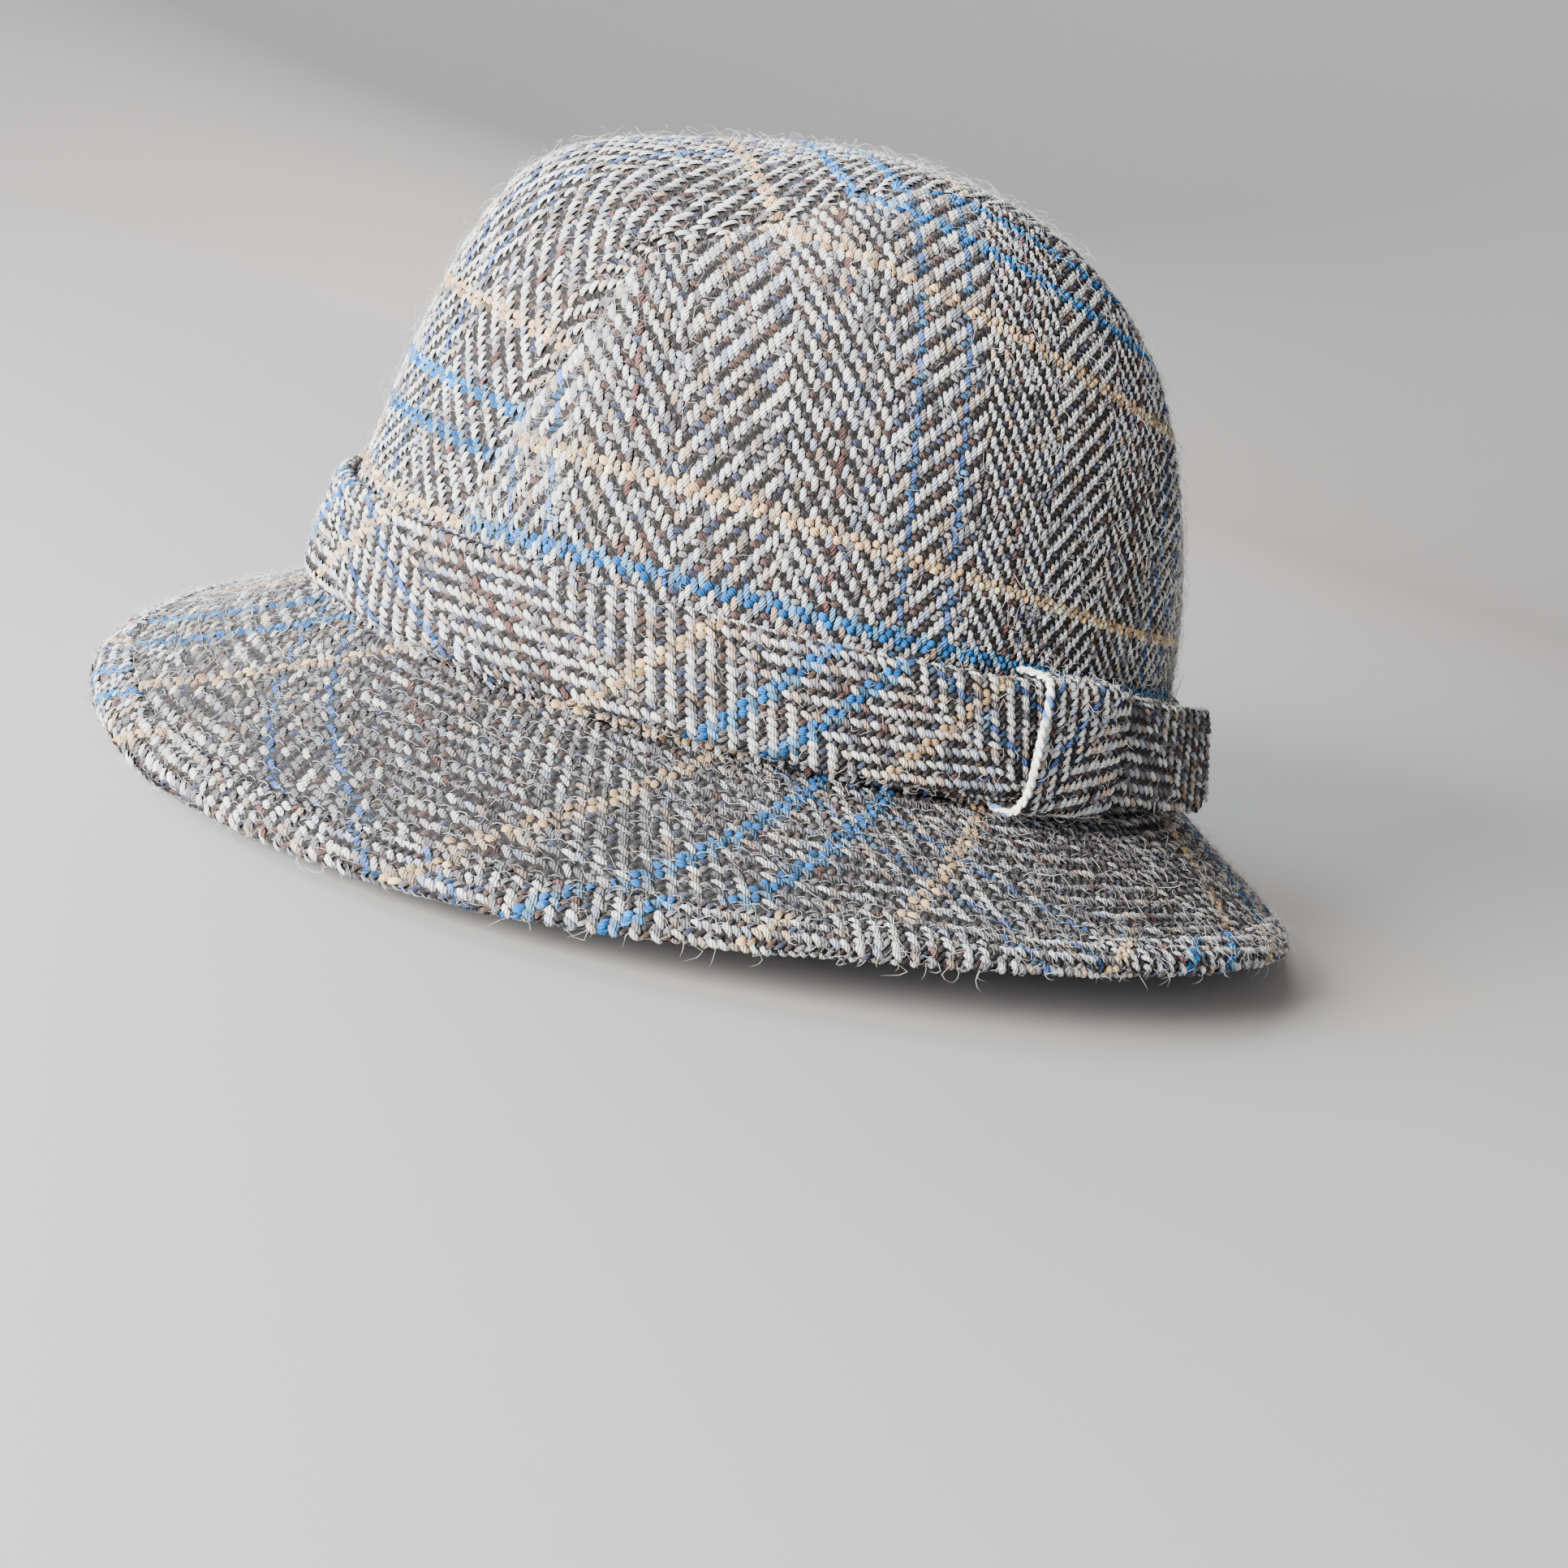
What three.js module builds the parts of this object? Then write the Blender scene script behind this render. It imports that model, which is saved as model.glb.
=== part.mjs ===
// A soft tweed fedora with a turned-down brim: a centre strip and two side panels make the crown,
// and a bias-cut strap round its foot passes through a cloth loop at the left rear.
// Millimetres, +Z up, front towards -Y, the wearer's left towards +X. The origin lies on the surface
// that the brim rests on, below the middle of the head oval.
import * as THREE from 'three';

// Head oval at the crown's foot, and the foot's height above the surface
const OVAL_HALF_LENGTH = 103;
const OVAL_HALF_WIDTH = 82;
const FOOT_HEIGHT = 31.5;

// Cloth and clearances
const CROWN_CLOTH = 2;
const BRIM_CLOTH = 2.6;
const LOOP_CLOTH = 1.3;
const SEAM_GAP = 0.3;

// Middle line of the crown in the plane x = 0, from the front foot over the top to the rear foot:
// the pull points of two cubic curves that meet at the top
const MIDDLE_LINE = [
  { point: 'front foot', y: -OVAL_HALF_LENGTH, z: 0 },
  { point: 'front wall', y: -87, z: 110 },
  { point: 'front edge', y: -82, z: 102.8 },
  { point: 'top', y: -30.6, z: 116 },
  { point: 'rear top', y: 42.9, z: 134.9 },
  { point: 'rear wall', y: 100, z: 86.8 },
  { point: 'rear foot', y: OVAL_HALF_LENGTH, z: 0 },
];

// Centre strip: half width and the drop of its edges below the middle line, by share of its length
const STRIP = [
  { along: 0, halfWidth: 41, edgeDrop: ovalSagitta(41) },
  { along: 0.25, halfWidth: 43, edgeDrop: 21 },
  { along: 0.36, halfWidth: 41, edgeDrop: 17 },
  { along: 0.5, halfWidth: 39.5, edgeDrop: 4.5 },
  { along: 0.65, halfWidth: 40.5, edgeDrop: 6 },
  { along: 0.8, halfWidth: 42, edgeDrop: 14 },
  { along: 1, halfWidth: 41, edgeDrop: ovalSagitta(41) },
];

// Lean of the crown's wall from upright, by turn from the front
const WALL = [
  { turn: 0, lean: 8.3 },
  { turn: 45, lean: 9.3 },
  { turn: 90, lean: 8 },
  { turn: 135, lean: 7 },
  { turn: 180, lean: 2.5 },
];
const WALL_FULLNESS = 0.42;
const SHOULDER_FULLNESS = 0.27;
// Panel ends: the seam's height at the blunt point, and the length of the lines that lie flush with
// the strip's edge
const PANEL_END = 6;
const PANEL_POINT = 30;
// Number of neighbouring lines on each side that share their curve with a line of the panel
const PANEL_EASE = 6;

// Brim: how far it reaches out from the foot and how far its edge drops, by turn from the front.
// A drop past the foot's height is cloth that the surface flattens.
const BRIM = [
  { turn: 0, reach: 42.5, drop: 33.5 },
  { turn: 50, reach: 51, drop: 27.4 },
  { turn: 90, reach: 43.2, drop: 20.3 },
  { turn: 130, reach: 43, drop: 21 },
  { turn: 180, reach: 42.5, drop: 34.5 },
];
// Section of the brim, from under the crown's wall to the hem: the share of the reach, and how far
// the upper face stands above the straight line from foot to edge
const BRIM_SECTION = [
  { share: 0, lift: 0 },
  { share: 0.26, lift: 0 },
  { share: 0.54, lift: 0 },
  { share: 0.81, lift: 0 },
  { share: 0.86, lift: 0.5 },
  { share: 0.97, lift: 0.4 },
];
const BRIM_TUCK = 2.2;
const BRIM_TOP = -0.6;
const HEM_HEIGHT = 3.2;
const HEM_FLAT = 3;
const HEM_ROUND = 1;

// Strap round the foot of the crown: the heights of its edges and its thickness, by turn from the
// front. It sits lowest at the rear.
const STRAP = [
  { turn: 0, bottom: 2, top: 25, thickness: 4 },
  { turn: 80, bottom: 2, top: 26.3, thickness: 4 },
  { turn: 118, bottom: 2, top: 26.8, thickness: 3 },
  { turn: 160, bottom: 0, top: 19.2, thickness: 2.3 },
  { turn: 180, bottom: 0, top: 18.6, thickness: 2.2 },
];
const STRAP_STAND_OFF = 0.7;
const STRAP_EDGE = 1.2;
const STRAP_SHARES = [0, 0.08, 0.25, 0.5, 0.75, 0.92, 1];

// Loop and free end of the strap at the left rear, by turn from the front
const LOOP_FROM = 107.5;
const LOOP_TO = 122;
const LOOP_CLEARANCE = 0.4;
const LOOP_CORNER = 0.3;
const LOOP_BOW = 1.7;
const LOOP_BOW_RUN = 22;
const TAIL_FROM = 110;
const TAIL_TO = 146;
const TAIL_THICKNESS = 2.2;
const TAIL_INSET = 0.6;
// The free end springs away from the crown, sinks a little and splays at its lower edge
const TAIL_LIFT = 6;
const TAIL_SINK = 2;
const TAIL_SPLAY = 3.5;
// Its corners are rounded off over the last few degrees
const TAIL_CORNER = 3.5;
const TAIL_CORNER_RUN = 2.6;

// Numbers of steps
const STRIP_STEPS_ALONG = 44;
const STRIP_STEPS_ACROSS = 10;
const WALL_STEPS = 12;
const BRIM_STEPS = 80;
const STRAP_STEPS = 72;
const LOOP_STEPS = 6;
const TAIL_STEPS = 14;

const UP = new THREE.Vector3(0, 0, 1);
const middleLine = makeMiddleLine();

// How far the oval falls back from its end at a given distance from the middle
function ovalSagitta(x) {
  return OVAL_HALF_LENGTH * (1 - Math.sqrt(1 - (x / OVAL_HALF_WIDTH) ** 2));
}

// Smooth value of a table's column between its rows, level at both ends of the table
function lookUp(table, key, column, at) {
  const last = table.length - 1;
  let row = 0;
  while (row < last - 1 && at > table[row + 1][key]) {
    row += 1;
  }
  const slope = (i) => {
    if (i === 0 || i === last) {
      return 0;
    }
    return (table[i + 1][column] - table[i - 1][column]) / (table[i + 1][key] - table[i - 1][key]);
  };
  const step = table[row + 1][key] - table[row][key];
  const t = THREE.MathUtils.clamp((at - table[row][key]) / step, 0, 1);
  const rise = table[row + 1][column] - table[row][column];
  const start = slope(row) * step;
  const end = slope(row + 1) * step;
  return table[row][column] + t * (start + t * (3 * rise - 2 * start - end + t * (start + end - 2 * rise)));
}

// Angle from the front, 0 to 180, of a turn round the oval
function fromFront(turn) {
  return Math.abs(THREE.MathUtils.euclideanModulo(turn + 180, 360) - 180);
}

function makeMiddleLine() {
  const points = MIDDLE_LINE.map((row) => new THREE.Vector3(0, row.y, row.z));
  const path = new THREE.CurvePath();
  path.add(new THREE.CubicBezierCurve3(...points.slice(0, 4)));
  path.add(new THREE.CubicBezierCurve3(...points.slice(3, 7)));
  return path;
}

// Point of the oval and its outward direction
function ovalAt(turn) {
  const angle = THREE.MathUtils.degToRad(turn);
  const point = new THREE.Vector3(
    OVAL_HALF_WIDTH * Math.sin(angle), -OVAL_HALF_LENGTH * Math.cos(angle), 0);
  const out = new THREE.Vector3(
    Math.sin(angle) / OVAL_HALF_WIDTH, -Math.cos(angle) / OVAL_HALF_LENGTH, 0).normalize();
  return { point, out };
}

// Turn of the oval point whose inward direction passes through a point of the left half
function turnFacing(x, y) {
  const ratio = OVAL_HALF_WIDTH / OVAL_HALF_LENGTH;
  const focus = OVAL_HALF_LENGTH - OVAL_HALF_WIDTH * ratio;
  let low = 0.01;
  let high = 179.99;
  for (let i = 0; i < 50; i += 1) {
    const turn = (low + high) / 2;
    const angle = THREE.MathUtils.degToRad(turn);
    if (-focus * Math.cos(angle) - (x * ratio) / Math.tan(angle) < y) {
      low = turn;
    } else {
      high = turn;
    }
  }
  return (low + high) / 2;
}

// Outer face of the centre strip: a share of its length and of its half width
function stripPoint(along, across) {
  const step = 1e-4;
  const before = middleLine.getPoint(Math.max(along - step, 0));
  const after = middleLine.getPoint(Math.min(along + step, 1));
  const way = after.sub(before).normalize();
  const drop = lookUp(STRIP, 'along', 'edgeDrop', along) * across ** 2;
  const point = middleLine.getPoint(along);
  point.x = across * lookUp(STRIP, 'along', 'halfWidth', along);
  point.y += drop * way.z;
  point.z -= drop * way.y;
  return point;
}

function stripNormal(along, across) {
  const step = 1e-3;
  const before = stripPoint(Math.max(along - step, 0), across);
  const after = stripPoint(Math.min(along + step, 1), across);
  const side = stripPoint(along, across + step).sub(stripPoint(along, across - step));
  return side.cross(after.sub(before)).normalize();
}

// Share of the strip's length where a line along it stands at a height above the foot, near one end
function shareAt(across, height, end) {
  let low = end === 'front' ? 0 : 0.92;
  let high = end === 'front' ? 0.08 : 1;
  for (let i = 0; i < 40; i += 1) {
    const along = (low + high) / 2;
    const above = stripPoint(along, across).z > height;
    if (above === (end === 'front')) {
      high = along;
    } else {
      low = along;
    }
  }
  return (low + high) / 2;
}

// Stations of the line along the strip at a share of its half width, from front to rear
function stations(across, height) {
  const from = shareAt(across, height, 'front');
  const to = shareAt(across, height, 'rear');
  const list = [];
  for (let i = 0; i <= STRIP_STEPS_ALONG; i += 1) {
    list.push(from + ((to - from) * i) / STRIP_STEPS_ALONG);
  }
  return list;
}

// Ends of one upright line of the left panel, and the pulls on its curve: it leaves the foot at the
// wall's lean and meets the strip smoothly at the seam
function wallLine(along) {
  const seam = stripPoint(along, 1);
  const turn = turnFacing(seam.x, seam.y);
  const { point: foot, out } = ovalAt(turn);
  const lean = THREE.MathUtils.degToRad(lookUp(WALL, 'turn', 'lean', turn));
  const rise = UP.clone().multiplyScalar(Math.cos(lean)).addScaledVector(out, -Math.sin(lean));
  const level = new THREE.Vector3().crossVectors(UP, out);
  const arrive = new THREE.Vector3().crossVectors(stripNormal(along, 1), level).normalize();
  if (arrive.z < 0) {
    arrive.negate();
  }
  const span = foot.distanceTo(seam);
  const low = rise.multiplyScalar(WALL_FULLNESS * span);
  const high = arrive.multiplyScalar(-SHOULDER_FULLNESS * span);
  return { foot, seam, low, high };
}

// Mean of a pull over the neighbouring lines of the panel
function easedPull(lines, c, pull) {
  const reach = Math.min(PANEL_EASE, c, lines.length - 1 - c);
  const sum = new THREE.Vector3();
  for (let i = c - reach; i <= c + reach; i += 1) {
    sum.add(lines[i][pull]);
  }
  return sum.divideScalar(2 * reach + 1);
}

// Upright curves of the left panel, each with its pulls eased into its neighbours'
function wallCurves(shares) {
  const lines = shares.map(wallLine);
  return lines.map(({ foot, seam }, c) => {
    const low = easedPull(lines, c, 'low').add(foot);
    const high = easedPull(lines, c, 'high').add(seam);
    return new THREE.CubicBezierCurve3(foot, low, high, seam);
  });
}

// Directions that face out of a grid of points, from its neighbouring points
function gridNormals(grid) {
  const rows = grid.length;
  const columns = grid[0].length;
  return grid.map((row, r) => row.map((point, c) => {
    const up = grid[Math.min(r + 1, rows - 1)][c].clone().sub(grid[Math.max(r - 1, 0)][c]);
    const on = row[Math.min(c + 1, columns - 1)].clone().sub(row[Math.max(c - 1, 0)]);
    return on.cross(up).normalize();
  }));
}

function offsetGrid(grid, normals, distance) {
  return grid.map((row, r) => row.map((point, c) => point.clone().addScaledVector(normals[r][c], distance)));
}

// Closed solid between two grids of points. Rows run up the piece, and columns run anticlockwise
// seen from above or, where they wrap, close on themselves.
function shell(outer, inner, wrap) {
  const rows = outer.length;
  const columns = outer[0].length;
  const points = [];
  const corners = [];
  for (const grid of [outer, inner]) {
    for (const row of grid) {
      points.push(...row);
    }
  }
  const outerAt = (r, c) => r * columns + (c % columns);
  const innerAt = (r, c) => rows * columns + outerAt(r, c);
  const quad = (a, b, c, d) => corners.push(a, b, c, a, c, d);
  const lastColumn = wrap ? columns : columns - 1;
  for (let c = 0; c < lastColumn; c += 1) {
    for (let r = 0; r < rows - 1; r += 1) {
      quad(outerAt(r, c), outerAt(r, c + 1), outerAt(r + 1, c + 1), outerAt(r + 1, c));
      quad(innerAt(r, c), innerAt(r + 1, c), innerAt(r + 1, c + 1), innerAt(r, c + 1));
    }
    quad(outerAt(0, c + 1), outerAt(0, c), innerAt(0, c), innerAt(0, c + 1));
    quad(outerAt(rows - 1, c), outerAt(rows - 1, c + 1), innerAt(rows - 1, c + 1), innerAt(rows - 1, c));
  }
  for (let r = 0; r < rows - 1 && !wrap; r += 1) {
    quad(outerAt(r, 0), outerAt(r + 1, 0), innerAt(r + 1, 0), innerAt(r, 0));
    quad(outerAt(r + 1, lastColumn), outerAt(r, lastColumn),
      innerAt(r, lastColumn), innerAt(r + 1, lastColumn));
  }
  return closedGeometry(points, corners);
}

function closedGeometry(points, corners) {
  const geometry = new THREE.BufferGeometry();
  geometry.setAttribute('position', new THREE.Float32BufferAttribute(points.flatMap((p) => p.toArray()), 3));
  geometry.setIndex(corners);
  geometry.computeVertexNormals();
  return geometry;
}

function crownCenter() {
  const outer = [];
  const normals = [];
  for (let c = 0; c <= STRIP_STEPS_ACROSS; c += 1) {
    const trim = 1 - SEAM_GAP / STRIP[0].halfWidth;
    const across = trim * ((2 * c) / STRIP_STEPS_ACROSS - 1);
    stations(across, 0).forEach((along, r) => {
      outer[r] = outer[r] ?? [];
      normals[r] = normals[r] ?? [];
      outer[r].push(stripPoint(along, across));
      normals[r].push(stripNormal(along, across));
    });
  }
  return shell(outer, offsetGrid(outer, normals, -CROWN_CLOTH), false);
}

// The left panel fills the space between the foot and the seam, and comes to a blunt point at both ends
function crownSideLeft() {
  const shares = stations(1, PANEL_END);
  const curves = wallCurves(shares);
  const outer = [];
  for (let r = 0; r <= WALL_STEPS; r += 1) {
    outer.push(curves.map((curve) => curve.getPoint(r / WALL_STEPS)));
  }
  const normals = gridNormals(outer);
  shares.forEach((along, c) => {
    const pointed = curves[c].v0.distanceTo(curves[c].v3) < PANEL_POINT;
    for (let r = pointed ? 0 : WALL_STEPS; r <= WALL_STEPS; r += 1) {
      normals[r][c] = stripNormal(along, 1);
    }
  });
  return shell(outer, offsetGrid(outer, normals, -CROWN_CLOTH), false);
}

// Mirror image across the plane x = 0, with its faces turned to point out again
function mirrored(geometry) {
  const copy = geometry.clone().scale(-1, 1, 1);
  const index = copy.getIndex().array;
  for (let i = 0; i < index.length; i += 3) {
    [index[i + 1], index[i + 2]] = [index[i + 2], index[i + 1]];
  }
  copy.computeVertexNormals();
  return copy;
}

// Point at a distance out from the oval and a height above the foot
function besideOval(turn, distance, height) {
  const { point, out } = ovalAt(turn);
  point.addScaledVector(out, distance);
  point.z = height;
  return point;
}

// Upper and under points of the brim at one turn, from the tuck below the crown's wall to the hem
function brimSection(turn) {
  const angle = fromFront(turn);
  const reach = lookUp(BRIM, 'turn', 'reach', angle);
  const drop = Math.min(lookUp(BRIM, 'turn', 'drop', angle), FOOT_HEIGHT);
  const fall = drop - HEM_HEIGHT + BRIM_TOP;
  const slope = Math.atan2(fall, reach);
  const upper = [besideOval(turn, -BRIM_TUCK, BRIM_TOP)];
  const under = [besideOval(turn, -BRIM_TUCK, BRIM_TOP - BRIM_CLOTH)];
  for (const { share, lift } of BRIM_SECTION) {
    const height = BRIM_TOP - fall * share + lift;
    upper.push(besideOval(turn, reach * share, height));
    const inset = BRIM_CLOTH * Math.sin(slope);
    under.push(besideOval(turn, reach * share - inset, height - lift - BRIM_CLOTH * Math.cos(slope)));
  }
  const nose = upper.length - 1;
  under[nose - 1] = besideOval(turn, reach - HEM_ROUND - HEM_FLAT, -drop);
  under[nose] = besideOval(turn, reach - HEM_ROUND, -drop);
  upper.push(besideOval(turn, reach, -drop + HEM_HEIGHT / 2));
  under.push(besideOval(turn, reach - HEM_ROUND / 2, -drop));
  return { upper, under };
}

function brim() {
  const upper = [];
  const under = [];
  for (let c = 0; c < BRIM_STEPS; c += 1) {
    const section = brimSection((360 * c) / BRIM_STEPS);
    section.upper.forEach((point, r) => {
      upper[r] = upper[r] ?? [];
      under[r] = under[r] ?? [];
      upper[r].push(point);
      under[r].push(section.under[r]);
    });
  }
  return shell(under, upper, true);
}

// Extra distance of the strap from the crown, where the loop's back layer lies between them
function loopBow(turn) {
  const middle = (LOOP_FROM + LOOP_TO) / 2;
  const away = Math.max(Math.abs(turn - middle) - (LOOP_TO - LOOP_FROM) / 2, 0);
  return LOOP_BOW * (1 - THREE.MathUtils.smoothstep(away, 0, LOOP_BOW_RUN));
}

// Point at a distance out from the crown's leaning wall
function besideWall(turn, distance, height) {
  const lean = THREE.MathUtils.degToRad(lookUp(WALL, 'turn', 'lean', fromFront(turn)));
  return besideOval(turn, distance - height * Math.tan(lean), height);
}

// Faces of a folded strap at one turn: the outer one is puffed between its soft edges
function strapSection(turn, { bottom, top, standOff, thickness, splay }) {
  const outer = [];
  const inner = [];
  for (const share of STRAP_SHARES) {
    const height = bottom + (top - bottom) * share;
    const puff = STRAP_EDGE + (thickness - STRAP_EDGE) * (1 - Math.abs(2 * share - 1) ** 5);
    const distance = standOff + splay * (1 - share);
    outer.push(besideWall(turn, distance + puff, height));
    inner.push(besideWall(turn, distance, height));
  }
  return { outer, inner };
}

// Strap through a list of turns: rows up the strap, columns along it
function strap(turns, lie, wrap) {
  const outer = STRAP_SHARES.map(() => []);
  const inner = STRAP_SHARES.map(() => []);
  for (const turn of turns) {
    const section = strapSection(turn, lie(turn));
    section.outer.forEach((point, r) => outer[r].push(point));
    section.inner.forEach((point, r) => inner[r].push(point));
  }
  return shell(outer, inner, wrap);
}

// How the strap lies round the crown
function bandLie(turn) {
  return {
    bottom: lookUp(STRAP, 'turn', 'bottom', fromFront(turn)),
    top: lookUp(STRAP, 'turn', 'top', fromFront(turn)),
    standOff: STRAP_STAND_OFF + loopBow(turn),
    thickness: lookUp(STRAP, 'turn', 'thickness', fromFront(turn)),
    splay: 0,
  };
}

// How the strap's end lies on the strap inside the loop, and springs free past it from that height
function tailLie(turn) {
  const below = bandLie(turn);
  const level = bandLie(Math.min(turn, LOOP_TO));
  const free = THREE.MathUtils.clamp((turn - LOOP_TO) / (TAIL_TO - LOOP_TO), 0, 1);
  const nearEnd = THREE.MathUtils.clamp(1 - (TAIL_TO - turn) / TAIL_CORNER_RUN, 0, 1);
  const inset = TAIL_INSET + TAIL_CORNER * (1 - Math.sqrt(1 - nearEnd ** 2));
  return {
    bottom: level.bottom + inset - TAIL_SINK * free,
    top: level.top - inset - TAIL_SINK * free,
    standOff: below.standOff + below.thickness + SEAM_GAP + TAIL_LIFT * free,
    thickness: TAIL_THICKNESS,
    splay: TAIL_SPLAY * free,
  };
}

function hatBand() {
  const turns = Array.from({ length: STRAP_STEPS }, (_, c) => (360 * c) / STRAP_STEPS);
  return strap(turns, bandLie, true);
}

function bandTail() {
  const turns = [];
  for (let c = 0; c <= TAIL_STEPS; c += 1) {
    const toEnd = (1 - c / TAIL_STEPS) ** 2;
    turns.push(TAIL_TO - (TAIL_TO - TAIL_FROM) * toEnd);
  }
  return strap(turns, tailLie, false);
}

// Rounded rectangle round the strap and its end, at one turn
function loopSection(turn, thickness) {
  const radius = LOOP_CORNER + thickness;
  const band = bandLie(turn);
  const near = band.standOff - LOOP_CLEARANCE;
  const far = band.standOff + band.thickness + SEAM_GAP + TAIL_THICKNESS + LOOP_CLEARANCE;
  const low = band.bottom - LOOP_CLEARANCE;
  const high = band.top + LOOP_CLEARANCE;
  const corners = [
    { distance: far - LOOP_CORNER, height: low + LOOP_CORNER, from: -90 },
    { distance: far - LOOP_CORNER, height: high - LOOP_CORNER, from: 0 },
    { distance: near + LOOP_CORNER, height: high - LOOP_CORNER, from: 90 },
    { distance: near + LOOP_CORNER, height: low + LOOP_CORNER, from: 180 },
  ];
  const points = [];
  for (const corner of corners) {
    for (const turned of [0, 45, 90]) {
      const angle = THREE.MathUtils.degToRad(corner.from + turned);
      const distance = corner.distance + radius * Math.cos(angle);
      points.push(besideWall(turn, distance, corner.height + radius * Math.sin(angle)));
    }
  }
  return points;
}

function bandKeeper() {
  const outer = [];
  const inner = [];
  for (let r = 0; r <= LOOP_STEPS; r += 1) {
    const turn = LOOP_TO + ((LOOP_FROM - LOOP_TO) * r) / LOOP_STEPS;
    outer.push(loopSection(turn, LOOP_CLOTH));
    inner.push(loopSection(turn, 0));
  }
  return shell(outer, inner, true);
}

function piece(name, geometry, color) {
  const material = new THREE.MeshStandardMaterial({ color, roughness: 0.95, metalness: 0 });
  const mesh = new THREE.Mesh(geometry, material);
  mesh.name = name;
  mesh.position.z = FOOT_HEIGHT;
  return mesh;
}

const left = crownSideLeft();
const hat = new THREE.Group();
hat.add(piece('crown_center', crownCenter(), '#8f8883'));
hat.add(piece('crown_side_left', left, '#96908a'));
hat.add(piece('crown_side_right', mirrored(left), '#96908a'));
hat.add(piece('brim', brim(), '#827c78'));
hat.add(piece('hat_band', hatBand(), '#8b8580'));
hat.add(piece('band_tail', bandTail(), '#857f79'));
hat.add(piece('band_keeper', bandKeeper(), '#9a938c'));
export default hat;
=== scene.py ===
"""A soft tweed fedora: woven cloth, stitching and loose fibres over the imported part, with camera and light.

Shapes are worked out in millimetres above the crown's foot.
They become metres above the floor when a mesh is made.
"""

import math
from dataclasses import dataclass

import bpy
import numpy as np
from mathutils import Matrix, Vector
from mathutils.kdtree import KDTree

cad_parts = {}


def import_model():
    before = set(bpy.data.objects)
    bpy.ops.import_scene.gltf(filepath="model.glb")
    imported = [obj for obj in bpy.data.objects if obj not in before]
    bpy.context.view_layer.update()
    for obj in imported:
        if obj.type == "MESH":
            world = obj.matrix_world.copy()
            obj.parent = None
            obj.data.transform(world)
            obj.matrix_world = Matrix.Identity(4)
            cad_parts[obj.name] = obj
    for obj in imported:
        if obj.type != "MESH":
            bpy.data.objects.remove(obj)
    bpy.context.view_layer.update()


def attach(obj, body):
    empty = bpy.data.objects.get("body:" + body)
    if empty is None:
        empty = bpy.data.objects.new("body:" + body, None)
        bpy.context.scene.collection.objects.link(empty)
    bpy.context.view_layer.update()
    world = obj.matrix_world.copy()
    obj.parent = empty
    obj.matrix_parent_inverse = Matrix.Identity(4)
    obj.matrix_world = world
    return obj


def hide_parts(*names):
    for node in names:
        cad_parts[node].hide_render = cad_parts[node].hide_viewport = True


MM = 0.001
UP = np.array([0.0, 0.0, 1.0])
# Steps that curves are divided into where lengths or places along them are found
CURVE_STEPS = 600
TURN_STEPS = 3600
TURN_MARGIN = 0.05
SECTION_STEPS = 721
FOOT_SEARCH = 0.08
FOOT_SEARCH_STEPS = 200

# Crown: the part's own measures
OVAL_HALF_LENGTH = 103.0
OVAL_HALF_WIDTH = 82.0
FOOT_HEIGHT = 31.5
CROWN_CLOTH = 2.0
FOOT_HALF_WIDTH = 41.0
FOOT_SAGITTA = OVAL_HALF_LENGTH * (1 - math.sqrt(1 - (FOOT_HALF_WIDTH / OVAL_HALF_WIDTH) ** 2))
# Middle line of the crown, y and z of the pull points of its two curves
MIDDLE_LINE = np.array(
    [(-103, 0), (-87, 110), (-82, 102.8), (-30.6, 116), (42.9, 134.9), (100, 86.8), (103, 0)], float
)
# Centre strip: share of its length, half width, drop of its edges
STRIP = np.array(
    [
        (0.0, FOOT_HALF_WIDTH, FOOT_SAGITTA),
        (0.25, 43, 21),
        (0.36, 41, 17),
        (0.5, 39.5, 4.5),
        (0.65, 40.5, 6),
        (0.8, 42, 14),
        (1.0, FOOT_HALF_WIDTH, FOOT_SAGITTA),
    ]
)
# Wall: turn from the front, lean
WALL = np.array([(0, 8.3), (45, 9.3), (90, 8), (135, 7), (180, 2.5)], float)
WALL_FULLNESS = 0.42
SHOULDER_FULLNESS = 0.27
PANEL_END = 6.0
PANEL_EASE = 12

# Brim: turn from the front, reach, drop of its edge
BRIM = np.array([(0, 42.5, 33.5), (50, 51, 27.4), (90, 43.2, 20.3), (130, 43, 21), (180, 42.5, 34.5)], float)
BRIM_CLOTH = 2.6
BRIM_TOP = -0.6
HEM_HEIGHT = 3.2
HEM_SHARE = 0.845
HEM_LIFT = 0.7
# Folded hem: share of the reach and lift, from its underside round the rim to its sewn edge
HEM_SECTION = [
    (0.93, -HEM_HEIGHT),
    (0.985, -HEM_HEIGHT),
    (1.004, -2.5),
    (1.008, -1.6),
    (1.0, -0.6),
    (0.983, HEM_LIFT * 0.6),
    (0.955, HEM_LIFT),
    (0.925, HEM_LIFT),
    (0.895, HEM_LIFT),
    (0.865, HEM_LIFT),
    (0.85, HEM_LIFT * 0.3),
]
# Brim's wall at the hem: share of the reach and lift, on its upper face and rim, then on its underside
BRIM_WALL_HEM = [(0.87, 0.25), (0.92, 0.25), (0.965, 0.25), (0.99, -0.7), (0.995, -1.7), (0.99, -2.5)]
BRIM_WALL_FOLD = [(0.97, -3.0), (0.86, -3.0)]
BRIM_WALL_UNDER = 0.84
BRIM_WALL_TURNS = 240
BRIM_WALL_ROWS = 14

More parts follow.
